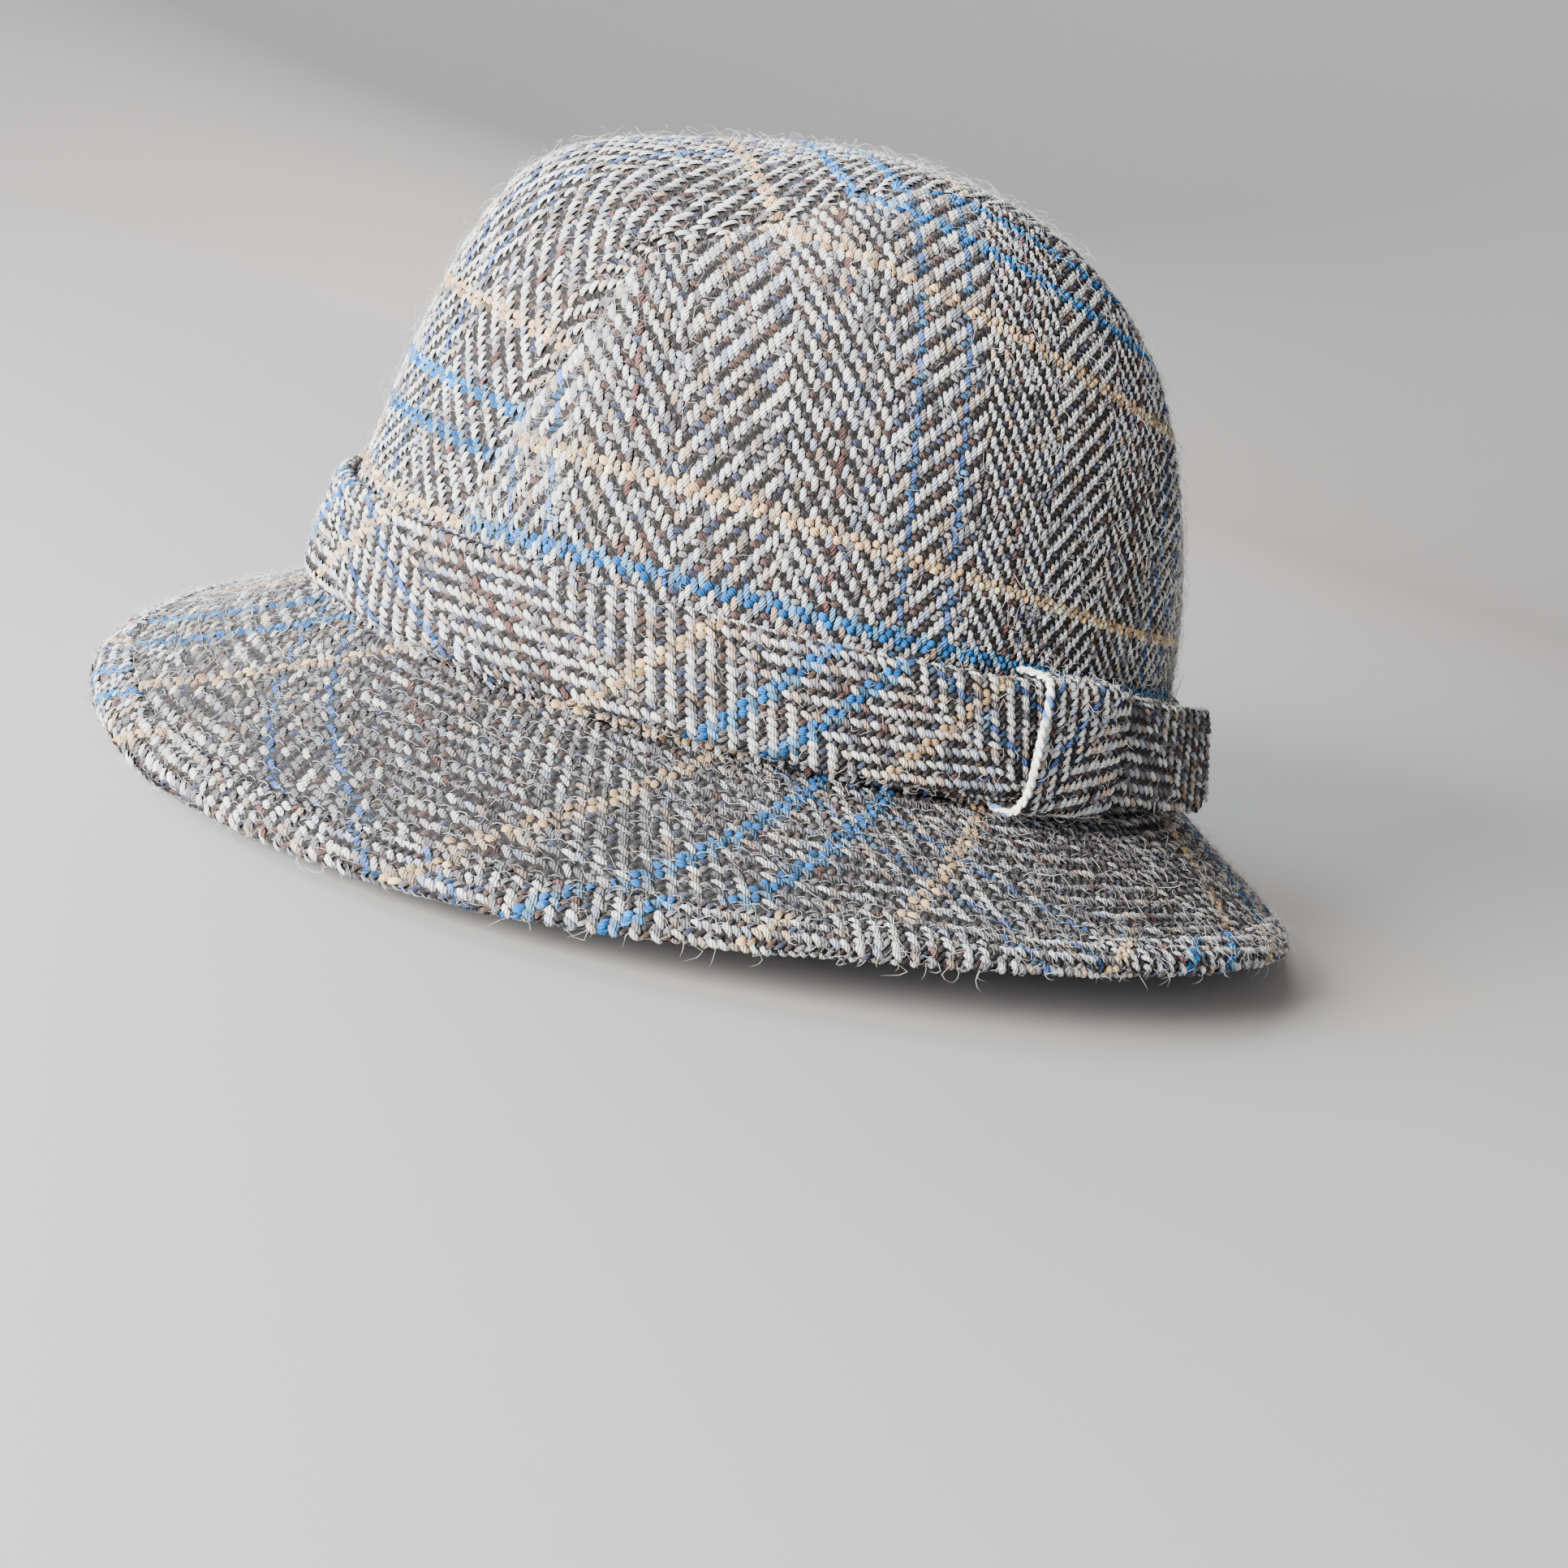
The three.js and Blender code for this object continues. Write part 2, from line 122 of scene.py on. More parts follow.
# Strap: turn from the front, heights of its edges, thickness
STRAP = np.array(
    [(0, 2, 25, 4), (80, 2, 26.3, 4), (118, 2, 26.8, 3), (160, 0, 19.2, 2.3), (180, 0, 18.6, 2.2)], float
)
STRAP_STAND_OFF = 0.7
STRAP_SQUARENESS = 5.0
LOOP_FROM = 107.5
LOOP_TO = 122.0
LOOP_MIDDLE = (LOOP_FROM + LOOP_TO) / 2
LOOP_CLOTH = 1.3
LOOP_CLEARANCE = 0.4
LOOP_BOW = 1.7
LOOP_BOW_RUN = 22.0
SEAM_GAP = 0.3
TAIL_FROM = 110.0
TAIL_TO = 146.0
TAIL_THICKNESS = 2.2
TAIL_INSET = 0.6
TAIL_LIFT = 6.0
TAIL_SINK = 2.0
TAIL_SPLAY = 3.5
TAIL_CORNER = 3.5
TAIL_CORNER_RUN = 2.6
# Grids of the straps' cloth, and how far it wraps round each section from the middle of the face
BAND_ROWS = 21
BAND_COLUMNS = 241
BAND_WRAP = 100
TAIL_ROWS = 31
TAIL_COLUMNS = 31
TAIL_CROWDING = 1.5
TAIL_WRAP = 165
LOOP_ROWS = 29
LOOP_COLUMNS = 15
LOOP_WRAP = 150
SECTION_POINTS = 49
BAND_WALL_TURNS = 180

# Weave: spacing of warp ends and weft picks, ends in a herringbone column, and the check's repeat
END = 1.16
PICK = 1.30
COLUMN_ENDS = 18
REPEAT = 72
BLUE_ENDS = (4, 13)
RUST_ENDS = (27, 63)
BLUE_PICKS = (0, 1, 8, 9)
TAN_PICKS = (20, 21, 60, 61)
# Floats: how far their ends dive, how they narrow, how round they are
YARN_DIVE = 0.55
DIVE_POWER = 2.8
END_TAPER = 0.35
TAPER_POWER = 3
# How sharply the painted shade darkens a float towards its ends, where it dives under the cloth
PAINTED_SHADE_POWER = 4
ARCH_ANGLE = 75
ARCH_ROUND = 0.8
BASE_SINK = 0.45
# How the floats vary in width, height, lift and length, and where their twist starts
WIDTH_SPREAD = 0.08
TOP_SPREAD = 0.25
LIFT_SPREAD = 0.04
LENGTH_SPREAD = 0.07
TWIST_RANGE = 40
# Search for a flat place on the cloth: steps, and the greatest step, miss and stretch
NEWTON_STEPS = 8
NEWTON_REACH = 2
MISS_LIMIT = END / 4
STRETCH_LIMIT = 1.7
# Seams: how far the cloth sinks at a seam, and over what distance
SEAM_SINK = 0.9
SEAM_RUN = 2.2
NO_SEAM = 99.0

# How each side panel's cloth lies: its warp leans and crowds to the rear, and its picks fan out there
GIRTH_HEIGHT = 45.0
GIRTH_SLOPE = 1.8
PANEL_SLANT = 0.125
PANEL_SLANT_GROWTH = 0.0006
PANEL_SLANT_LEVEL = 62.0
PANEL_CROWD = 0.25
PANEL_CROWD_FROM = 11.0
PANEL_ENDS_AT = 10.0
PANEL_TILT = -0.08
PANEL_FAN = 0.0034
PANEL_FAN_RANGE = 60.0
PANEL_FALL = 0.13
PANEL_FALL_FROM = 27.0
PANEL_FALL_EASE = 12.0
PANEL_PICKS_AT = -18.3
STRIP_ENDS_AT = -1.2
# Centre strip: length along it, flat place of its cloth
STRIP_LAY = np.array([(-60, -101.7), (68, 26.3), (141, 76), (440, 375)])
STRIP_LAY_EASE = 15.0
STRIP_LAY_SAMPLES = 7
# Cloth cut at a slant: warp by length along, by length up, at the start, then the same of the weft
BRIM_CUT = ((-0.573, 0.688, 24.9), (0.584, 0.526, -7.3))
HEM_CUT = ((0.655, 0.707, 7.0), (0.655, -0.707, 3.0))
BAND_CUT = ((-0.54, -0.885, 39.6), (0.67, -0.63, 20.0))
TAIL_CUT = ((0.599, 0.760, 28.0), (0.599, -0.760, 40.0))
LOOP_CUT = ((-0.81, 0.58, 3.35), (0.58, 0.81, 36.0))
BRIM_UNDER = 0.03
# Grids of the brim's and the hem's cloth, and the row that length is measured along
BRIM_ROWS = 21
BRIM_COLUMNS = 181
BRIM_LENGTH_ROW = 13
HEM_COLUMNS = 241
HEM_LENGTH_ROW = 5

# Stitches and fibres
STITCH_SHARES = (0.10, 0.21, 0.32, 0.43, 0.54, 0.65, 0.76, 0.835)
STITCH_PITCH = 3.6
STITCH_LENGTH = 2.7
STITCH_LIFT = 0.22
STITCH_DIVE = 0.45
STITCH_RADIUS = 0.11
STITCH_SIDES = 4
STITCH_POINTS = 4
STITCH_STEPS = 1441
STITCH_UNEVEN = 0.35
STITCH_WANDER = 0.006
STITCH_SHADES = (0.82, 1.05)
FIBRE_RADIUS = 0.04
FIBRE_TAPER = (1.0, 1.0, 0.8, 0.2)
FIBRE_SIDES = 3
FIBRE_LENGTH = 6
FIBRE_LENGTH_SHARES = (0.35, 1)
FIBRE_START = 0.5
FIBRE_LIFTS = (0.02, 0.5)
FIBRE_ARCH = 2.4
FIBRE_CURL = 0.35
FIBRE_WAVE = 4
FIBRE_SHADES = (0.75, 1.05)
HEM_FIBRE_LENGTH = 4.5
HEM_FIBRE_ROWS = (2, 9)
BAND_FIBRE_LENGTH = 4
TUBE_TWIST = 3
CROWN_FIBRES = 2900
BRIM_FIBRES = 2900
HEM_FIBRES = 2400
BAND_FIBRES = 1800
# Floats of the check's lines, and how they tint the yarn that crosses them
ACCENT_LIFT = 0.24
ACCENT_FULLNESS = 0.5
ACCENT_BLOOM = 0.08
CROSSING_TINT = 0.5
# Two-ply yarn on the loop's front edge
EDGE_FROM = -100
EDGE_TO = 118
EDGE_POINTS = 61
EDGE_SIDES = 7
EDGE_PLY_REACH = 0.75
EDGE_FLARE_OVER = (0.02, 0.3)
EDGE_HOOK_OVER = (0.85, 1)
EDGE_TWIST = 4.2
EDGE_RADIUS = 0.58
EDGE_FLARE = 2.0
EDGE_HOOK = 1.6
EDGE_BLUE = (0.07, 0.7)
EDGE_BLUE_RUN = 0.06

# Colours of the wool, as they look in even light
CREAM = (250, 248, 243)
PALE_GREY = (224, 224, 226)
PALE_BROWN = (208, 184, 164)
PALE_SLATE = (180, 189, 212)
CHARCOAL = (26, 22, 24)
BROWN = (80, 56, 50)
SLATE = (50, 57, 84)
HEATHER = (138, 134, 138)
BLOOM = (176, 173, 171)
# Dark colour of the sheets under the weave: the weft's colour together with painted shade of the gaps between
# floats
DARK_WEFT_AND_GAP_SHADE = (48, 44, 43)
BLUE = (8, 104, 178)
PALE_BLUE = (90, 118, 184)
TAN = (222, 182, 136)
RUST = (116, 82, 78)
THREAD = (196, 195, 197)
# Kinds of clean warp and of weft, their shares, and the spread of tone between yarns and floats
WARP_KINDS = (CREAM, PALE_GREY, PALE_BROWN, PALE_SLATE)
WARP_SHARES = (0.56, 0.17, 0.15, 0.12)
WARP_TONES = (0.06, 0.1)
WEFT_KINDS = (CHARCOAL, BROWN, SLATE, HEATHER)
WEFT_SHARES = (0.48, 0.19, 0.15, 0.18)
WEFT_TONES = (0.08, 0.14)
RUST_SHARE = 0.65
TONE_REPEATS = 10
DARKEST = 8
BRIGHTEST = 250
BRIGHTEST_FIBRE = 245
SEED = 7
# Finish of the wool: sheen, gloss, mottling and the twist of its plies
SHEEN_ROUGHNESS = 0.6
WOOL_SPECULAR = 0.15
MOTTLE_SCALE = 900.0
MOTTLE_DETAIL = 3.0
MOTTLE_FROM = 0.3
MOTTLE_TO = 0.7
# Strength of the painted shade in the grooves between a yarn's plies and of the painted light on their crests
PLY_SHADE = 0.4
PLY_ANGLE = 50
PLY_SCALE = 0.55
PLY_DISTORTION = 1.5
PLY_DETAIL = 2.0
PLY_DEPTH = 0.0003

# Flat lengths of the straps, in metres
STRAP_LENGTHS = {"hat_band": 0.597, "band_tail": 0.062, "band_keeper": 0.085}

# Camera: bearing, height angle and distance from a point above the hat's middle, then its own turns
CAMERA_BEARING = 69.8
CAMERA_HEIGHT_ANGLE = 7.18
CAMERA_DISTANCE = 440.59
CAMERA_AIM_HEIGHT = 71.5
CAMERA_YAW = 1.91
CAMERA_PITCH = -8.27
CAMERA_ROLL = 15.98
CAMERA_LENS = 42.66
CAMERA_SENSOR = 36.0
CAMERA_CLIP = 0.01

# Floor and light, in metres
FLOOR_RADIUS = 1.3
FLOOR_CURVE = 0.6
FLOOR_WALL = 2.4
FLOOR_INNER = (0.001, 0.5)
FLOOR_ARC_STEPS = 17
FLOOR_SIDES = 96
FLOOR_COLOUR = (186, 185, 184)
FLOOR_ROUGHNESS = 0.9
LIGHT_AIM = (0.0, 0.0, 0.07)
SHADE_COLOUR = (1.0, 0.93, 0.88)
WORLD_STRENGTH = 0.12
# Lights: name, place, size, power, colour
LIGHTS = (
    ("key", (0.41, -0.96, 0.33), 0.55, 53.0, (1.0, 0.985, 0.965)),
    ("fill", (-1.3, 0.15, 0.85), 1.2, 20.0, SHADE_COLOUR),
    ("front", (-0.35, -0.95, 0.95), 0.8, 15.0, (0.64, 0.83, 1.0)),
)


@dataclass
class Yarn:
    """A float: its half width, height and overlap, how it pales towards its ends, how much painted shade
    darkens its ends and sides, how finely it is made.
    """

    half_width: float
    top: float
    overlap: float
    bloom: float
    # Strength of the painted shade at the float's ends and sides
    shade: float
    rings: int
    sides: int


@dataclass
class Look:
    """How one piece's cloth looks: tone, share of greyed warp, height and stray angle of its floats."""

    tone: float
    heather: float
    loft: float
    stray: float


# Warp floats carry painted shade at their ends and sides; weft floats carry none
WARP_YARN = Yarn(0.67, 0.34, 1.18, 0.06, 0.45, 5, 3)
WEFT_YARN = Yarn(0.52, 0.14, 1.0, 0.33, 0.0, 4, 3)
CROWN_LOOK = Look(1.0, 0.11, 1.0, 0.1)
BRIM_LOOK = Look(0.84, 0.5, 0.75, 0.19)
HEM_LOOK = Look(0.98, 0.2, 1.0, 0.14)
BAND_LOOK = Look(1.0, 0.1, 1.0, 0.1)
# The free end's tone below one is painted shade: it darkens the end, which lies in shade
TAIL_LOOK_WITH_PAINTED_SHADE = Look(0.92, 0.32, 0.9, 0.12)
# The loop's tone above one is painted light: it lightens the loop, which faces away from the key light
KEEPER_LOOK_WITH_PAINTED_LIGHT = Look(1.12, 0.05, 1.0, 0.08)


@dataclass
class Cloth:
    """A face of cloth: a grid of points, the same points laid flat, and how far each is from a seam."""

    points: np.ndarray
    flat: np.ndarray
    seam: np.ndarray


def unit(vectors):
    return vectors / np.linalg.norm(vectors, axis=-1, keepdims=True)


def smooth(value, low, high):
    t = np.clip((value - low) / (high - low), 0, 1)
    return t * t * (3 - 2 * t)


def look_up(table, column, at):
    """Smooth value of a table's column between its rows, level at both ends of the table."""
    at = np.asarray(at, float)
    keys = table[:, 0]
    values = table[:, column]
    slopes = np.zeros(len(keys))
    slopes[1:-1] = (values[2:] - values[:-2]) / (keys[2:] - keys[:-2])
    row = np.clip(np.searchsorted(keys, at) - 1, 0, len(keys) - 2)
    step = keys[row + 1] - keys[row]
    t = np.clip((at - keys[row]) / step, 0, 1)
    rise = values[row + 1] - values[row]
    start = slopes[row] * step
    end = slopes[row + 1] * step
    return values[row] + t * (start + t * (3 * rise - 2 * start - end + t * (start + end - 2 * rise)))


def cubic(pulls, t):
    a, b, c, d = pulls
    return (1 - t) ** 3 * a + 3 * (1 - t) ** 2 * t * b + 3 * (1 - t) * t**2 * c + t**3 * d


def running_length(points):
    """Length along a line of points, or along the first axis of a grid of them."""
    steps = np.linalg.norm(np.diff(points, axis=0), axis=-1)
    return np.concatenate([np.zeros((1,) + steps.shape[1:]), np.cumsum(steps, axis=0)])


# Crown


def middle_at(along):
    t = np.linspace(0, 1, CURVE_STEPS)[:, None]
    points = np.vstack([cubic(MIDDLE_LINE[:4], t), cubic(MIDDLE_LINE[3:], t)[1:]])
    length = running_length(points)
    at = np.asarray(along) * length[-1]
    return np.interp(at, length, points[:, 0]), np.interp(at, length, points[:, 1])


def strip_points(along, across):
    """Outer face of the centre strip, at a share of its length and of its half width."""
    along, across = np.broadcast_arrays(np.asarray(along, float), np.asarray(across, float))
    step = 1e-3
    y0, z0 = middle_at(np.clip(along - step, 0, 1))
    y1, z1 = middle_at(np.clip(along + step, 0, 1))
    run = np.hypot(y1 - y0, z1 - z0)
    y, z = middle_at(along)
    drop = look_up(STRIP, 2, along) * across**2
    x = across * look_up(STRIP, 1, along)
    return np.stack([x, y + drop * (z1 - z0) / run, z - drop * (y1 - y0) / run], -1)


def strip_normals(along, across):
    step = 2e-3
    ahead = strip_points(np.minimum(along + step, 1), across)
    behind = strip_points(np.maximum(along - step, 0), across)
    side = strip_points(along, across + step) - strip_points(along, across - step)
    return unit(np.cross(side, ahead - behind))


def shares_above(across, height, count):
    """Even shares of the strip's length between the places where it stands at a height above the foot."""
    along = np.linspace(0, FOOT_SEARCH, FOOT_SEARCH_STEPS)
    start = np.interp(height, strip_points(along, across)[:, 2], along)
    end = 1 - np.interp(height, strip_points(1 - along, across)[:, 2], along)
    return np.linspace(start, end, count)


def strip_grid(rows=91, columns=21):
    grid = []
    for across in np.linspace(-1, 1, columns):
        grid.append(strip_points(shares_above(across, 0.0, rows), across))
    return np.stack(grid, axis=1)


def oval(turn):
    """Points of the oval at the crown's foot and their outward directions."""
    a = np.radians(turn)
    points = np.stack([OVAL_HALF_WIDTH * np.sin(a), -OVAL_HALF_LENGTH * np.cos(a), 0 * a], -1)
    out = np.stack([np.sin(a) / OVAL_HALF_WIDTH, -np.cos(a) / OVAL_HALF_LENGTH, 0 * a], -1)
    return points, unit(out)


def turn_facing(points):
    """Turns of the oval points whose inward direction passes through points of the left half."""
    turns = np.linspace(TURN_MARGIN, 180 - TURN_MARGIN, TURN_STEPS)
    a = np.radians(turns)
    ratio = OVAL_HALF_WIDTH / OVAL_HALF_LENGTH
    focus = OVAL_HALF_LENGTH - OVAL_HALF_WIDTH * ratio
    return np.array([np.interp(y, -focus * np.cos(a) - x * ratio / np.tan(a), turns) for x, y, _ in points])


def eased(pulls):
    """Mean of each pull with its neighbours'."""
    sums = np.vstack([np.zeros(3), np.cumsum(pulls, axis=0)])
    c = np.arange(len(pulls))
    reach = np.minimum(PANEL_EASE, np.minimum(c, len(pulls) - 1 - c))
    return (sums[c + reach + 1] - sums[c - reach]) / (2 * reach + 1)[:, None]


def panel_grid(columns=89, rows=25):
    """Left side panel: rows from foot to seam, columns from front to rear."""
    shares = shares_above(1.0, PANEL_END, columns)
    seam = strip_points(shares, 1.0)
    turn = turn_facing(seam)
    foot, out = oval(turn)
    lean = np.radians(look_up(WALL, 1, turn))[:, None]
    rise = np.cos(lean) * UP - np.sin(lean) * out
    arrive = unit(np.cross(strip_normals(shares, 1.0), np.cross(UP, out)))
    arrive *= np.sign(arrive[:, 2:])
    span = np.linalg.norm(seam - foot, axis=1)[:, None]
    low = foot + eased(rise * WALL_FULLNESS * span)
    high = seam + eased(-arrive * SHOULDER_FULLNESS * span)
    return cubic((foot, low, high, seam), np.linspace(0, 1, rows)[:, None, None])


# Brim and strap


def from_front(turn):
    return np.abs((turn + 180) % 360 - 180)


def brim_points(turn, share, lift):
    """Points of the brim's upper face at a share of its reach, raised by a lift."""
    angle = from_front(turn)
    reach = look_up(BRIM, 1, angle)
    drop = np.minimum(look_up(BRIM, 2, angle), FOOT_HEIGHT)
    foot, out = oval(turn)
    points = foot + out * (reach * share)[..., None]
    points[..., 2] = BRIM_TOP - (drop - HEM_HEIGHT + BRIM_TOP) * share + lift
    return points


def swept(section, turn):
    """Points of a section of the brim, share and lift, carried round it."""
    return np.stack([brim_points(turn, share, lift) for share, lift in section])


def loop_bow(turn):
    away = np.maximum(np.abs(turn - LOOP_MIDDLE) - (LOOP_TO - LOOP_FROM) / 2, 0)
    return LOOP_BOW * (1 - smooth(away, 0, LOOP_BOW_RUN))


def band_lie(turn):
    """Near distance from the wall, thickness, bottom, top and splay of the strap round the crown."""
    angle = from_front(turn)
    near = STRAP_STAND_OFF + loop_bow(turn % 360)
    return near, look_up(STRAP, 3, angle), look_up(STRAP, 1, angle), look_up(STRAP, 2, angle), 0


def tail_lie(turn):
    """The same of the strap's free end, which springs away past the loop and has rounded corners."""
    near, thickness, _, _, _ = band_lie(turn)
    _, _, bottom, top, _ = band_lie(np.minimum(turn, LOOP_TO))
    free = np.clip((turn - LOOP_TO) / (TAIL_TO - LOOP_TO), 0, 1)
    near = near + thickness + SEAM_GAP + TAIL_LIFT * free
    near_end = np.clip(1 - (TAIL_TO - turn) / TAIL_CORNER_RUN, 0, 1)
    inset = TAIL_INSET + TAIL_CORNER * (1 - np.sqrt(1 - near_end**2))
    bottom = bottom + inset - TAIL_SINK * free
    top = top - inset - TAIL_SINK * free
    return near, TAIL_THICKNESS, bottom, top, TAIL_SPLAY * free


def tail_turns():
    """Turns along the strap's free end, closer together towards its tip."""
    return TAIL_TO - (TAIL_TO - TAIL_FROM) * np.linspace(1, 0, TAIL_COLUMNS) ** TAIL_CROWDING


def loop_turns():
    return np.linspace(LOOP_FROM, LOOP_TO, LOOP_COLUMNS)


def loop_lie(turn):
    """The same of the cloth loop that holds the strap."""
    near, thickness, bottom, top, _ = band_lie(turn)
    wall = LOOP_CLEARANCE + LOOP_CLOTH
    whole = thickness + SEAM_GAP + TAIL_THICKNESS + 2 * wall
    return near - wall, whole, bottom - wall, top + wall, 0


def strap_points(turn, around, lie, inset=0.0):
    """Points of a strap's rounded section: 0 degrees faces out and 90 degrees is the upper edge."""
    near, thickness, bottom, top, splay = lie(turn)
    power = 2 / STRAP_SQUARENESS
    a = np.radians(around)
    cos = np.sign(np.cos(a)) * np.abs(np.cos(a)) ** power
    sin = np.sign(np.sin(a)) * np.abs(np.sin(a)) ** power
    height = (top + bottom) / 2 + ((top - bottom) / 2 - inset) * sin
    share = (height - bottom) / (top - bottom)
    distance = near + thickness / 2 + (thickness / 2 - inset) * cos + splay * (1 - share)
    lean = np.radians(look_up(WALL, 1, from_front(turn)))
    foot, out = oval(turn)
    points = foot + out * (distance - height * np.tan(lean))[..., None]
    points[..., 2] = height
    return points


def even_around(start, end, count, lie, turn):
    """Angles round a strap's section that are evenly spaced along its face."""
    angles = np.linspace(start, end, SECTION_STEPS)
    length = running_length(strap_points(np.full(SECTION_STEPS, turn), angles, lie))
    return np.interp(np.linspace(0, length[-1], count), length, angles)


# Cloth laid flat


def girth(points, y):
    """Length round a side panel at a set height, from the hat's middle to places along it."""
    tall = np.swapaxes(points[:, points[-1, :, 2] > GIRTH_HEIGHT], 0, 1)
    places = [[np.interp(GIRTH_HEIGHT, line[:, 2], line[:, axis]) for axis in (0, 1)] for line in tall]
    ring = np.array(places)
    length = running_length(ring)
    length = length - np.interp(0, ring[:, 1], length)
    beyond = np.minimum(y - ring[0, 1], 0) + np.maximum(y - ring[-1, 1], 0)
    return np.interp(y, ring[:, 1], length) + GIRTH_SLOPE * beyond


def panel_cloth():
    points = panel_grid()
    y = points[..., 1]
    z = points[..., 2]
    rise = running_length(points)
    slanted = girth(points, y + (PANEL_SLANT + PANEL_SLANT_GROWTH * y) * (z - PANEL_SLANT_LEVEL))
    ends = slanted + PANEL_CROWD * np.maximum(slanted - PANEL_CROWD_FROM, 0) + PANEL_ENDS_AT
    along = girth(points, y)
    fan = PANEL_FAN * PANEL_FAN_RANGE * np.tanh(along / PANEL_FAN_RANGE)
    beyond = along - PANEL_FALL_FROM
    fall = PANEL_FALL * (np.hypot(beyond, PANEL_FALL_EASE) + beyond) / 2
    picks = (rise + PANEL_TILT * along + fall) / (1 - fan) + PANEL_PICKS_AT
    return Cloth(points, np.stack([ends, picks], -1), rise[-1:] - rise)


def mirrored(cloth):
    """The same cloth on the other side of the hat."""
    return Cloth(cloth.points[:, ::-1] * [-1, 1, 1], cloth.flat[:, ::-1], cloth.seam[:, ::-1])


def strip_cloth():
    points = strip_grid()
    middle = points.shape[1] // 2
    across = np.swapaxes(running_length(np.swapaxes(points, 0, 1)), 0, 1)
    along = np.repeat(running_length(points[:, middle])[:, None], points.shape[1], 1)
    ends = across - across[:, middle : middle + 1] + STRIP_ENDS_AT
    seam = np.minimum(across, across[:, -1:] - across)
    shifts = np.linspace(-STRIP_LAY_EASE, STRIP_LAY_EASE, STRIP_LAY_SAMPLES)
    lays = [np.interp(along + shift, STRIP_LAY[:, 0], STRIP_LAY[:, 1]) for shift in shifts]
    picks = np.mean(lays, axis=0)
    return Cloth(points, np.stack([ends, picks], -1), seam)


def bias_cloth(points, row, zero, up, cut):
    """Cloth cut at a slant, with its length measured along one row from one column."""
    along = running_length(points[row])
    along = np.repeat((along - along[zero])[None], len(points), 0)
    flat = np.stack([by_along * along + by_up * up + start for by_along, by_up, start in cut], -1)
    return Cloth(points, flat, np.full(up.shape, NO_SEAM))


def brim_cloth():
    turns = np.linspace(-180, 180, BRIM_COLUMNS)
    turn, share = np.meshgrid(turns, np.linspace(-BRIM_UNDER, HEM_SHARE, BRIM_ROWS))
    points = brim_points(turn, share, 0)
    cloth = bias_cloth(points, BRIM_LENGTH_ROW, BRIM_COLUMNS // 2, running_length(points), BRIM_CUT)
    return Cloth(cloth.points[::-1], cloth.flat[::-1], cloth.seam)


def hem_cloth():
    points = swept(HEM_SECTION, np.linspace(-180, 180, HEM_COLUMNS))
    return bias_cloth(points, HEM_LENGTH_ROW, HEM_COLUMNS // 2, running_length(points), HEM_CUT)


def strap_cloth(turns, rows, half_wrap, lie, cut, zero):
    angles = even_around(-half_wrap, half_wrap, rows, lie, float(turns[0]))
    turn, around = np.meshgrid(turns, angles)
    points = strap_points(turn, around, lie)
    rise = running_length(points)
    up = rise - rise[rows // 2] + STRAP[0, 1:3].mean()
    return bias_cloth(points, rows // 2, zero, up, cut)


def band_cloth():
    turns = np.linspace(LOOP_MIDDLE - 360, LOOP_MIDDLE, BAND_COLUMNS)
    return strap_cloth(turns, BAND_ROWS, BAND_WRAP, band_lie, BAND_CUT, int(np.argmin(np.abs(turns))))


def tail_cloth():
    return strap_cloth(tail_turns(), TAIL_ROWS, TAIL_WRAP, tail_lie, TAIL_CUT, 0)


def loop_cloth():
    return strap_cloth(loop_turns(), LOOP_ROWS, LOOP_WRAP, loop_lie, LOOP_CUT, 0)


# Weave


def warp_up(end, pick):
    """Where the warp lies over the weft: a two-and-two twill that turns round in every other column."""
    place = end % COLUMN_ENDS
    rising = (end // COLUMN_ENDS) % 2 == 0
    return np.where(rising, pick - place, pick + place + 1) % 4 < 2


def runs(over):
    """Row, start and end of each run of true values along the rows of a table."""
    padded = np.pad(over, ((0, 0), (1, 1)))
    row, start = np.nonzero(padded[:, 1:] & ~padded[:, :-1])
    _, end = np.nonzero(~padded[:, 1:] & padded[:, :-1])
    return row, start, end


def float_places(flat):
    """Flat place, length and yarn number of each warp float, and the same of each weft float."""
    size = np.array([END, PICK])
    low = np.floor(flat.reshape(-1, 2).min(0) / size).astype(int) - 1
    high = np.ceil(flat.reshape(-1, 2).max(0) / size).astype(int) + 1
    ends = np.arange(low[0], high[0])
    picks = np.arange(low[1], high[1])
    over = warp_up(ends[:, None], picks[None])
    row, start, stop = runs(over)
    middle = (picks[0] + (start + stop) / 2) * PICK
    warp = (np.stack([(ends[row] + 0.5) * END, middle], -1), (stop - start) * PICK, ends[row])
    row, start, stop = runs(~over.T)
    middle = (ends[0] + (start + stop) / 2) * END
    weft = (np.stack([middle, (picks[row] + 0.5) * PICK], -1), (stop - start) * END, picks[row])
    return warp, weft


def nearest(places, wanted):
    """Index of the place nearest to each wanted one."""
    tree = KDTree(len(places))
    for index, (x, y) in enumerate(places):
        tree.insert((x, y, 0), index)
    tree.balance()
    return np.array([tree.find((x, y, 0))[1] for x, y in wanted])


def blend(values, r, c):
    """Values between the rows and columns of a grid, and their change by row and by column."""
    i = np.clip(np.floor(r).astype(int), 0, values.shape[0] - 2)
    j = np.clip(np.floor(c).astype(int), 0, values.shape[1] - 2)
    a = (r - i)[:, None]
    b = (c - j)[:, None]
    near = values[i, j] * (1 - b) + values[i, j + 1] * b
    far = values[i + 1, j] * (1 - b) + values[i + 1, j + 1] * b
    left = values[i, j] * (1 - a) + values[i + 1, j] * a
    right = values[i, j + 1] * (1 - a) + values[i + 1, j + 1] * a
    return near * (1 - a) + far * a, far - near, right - left


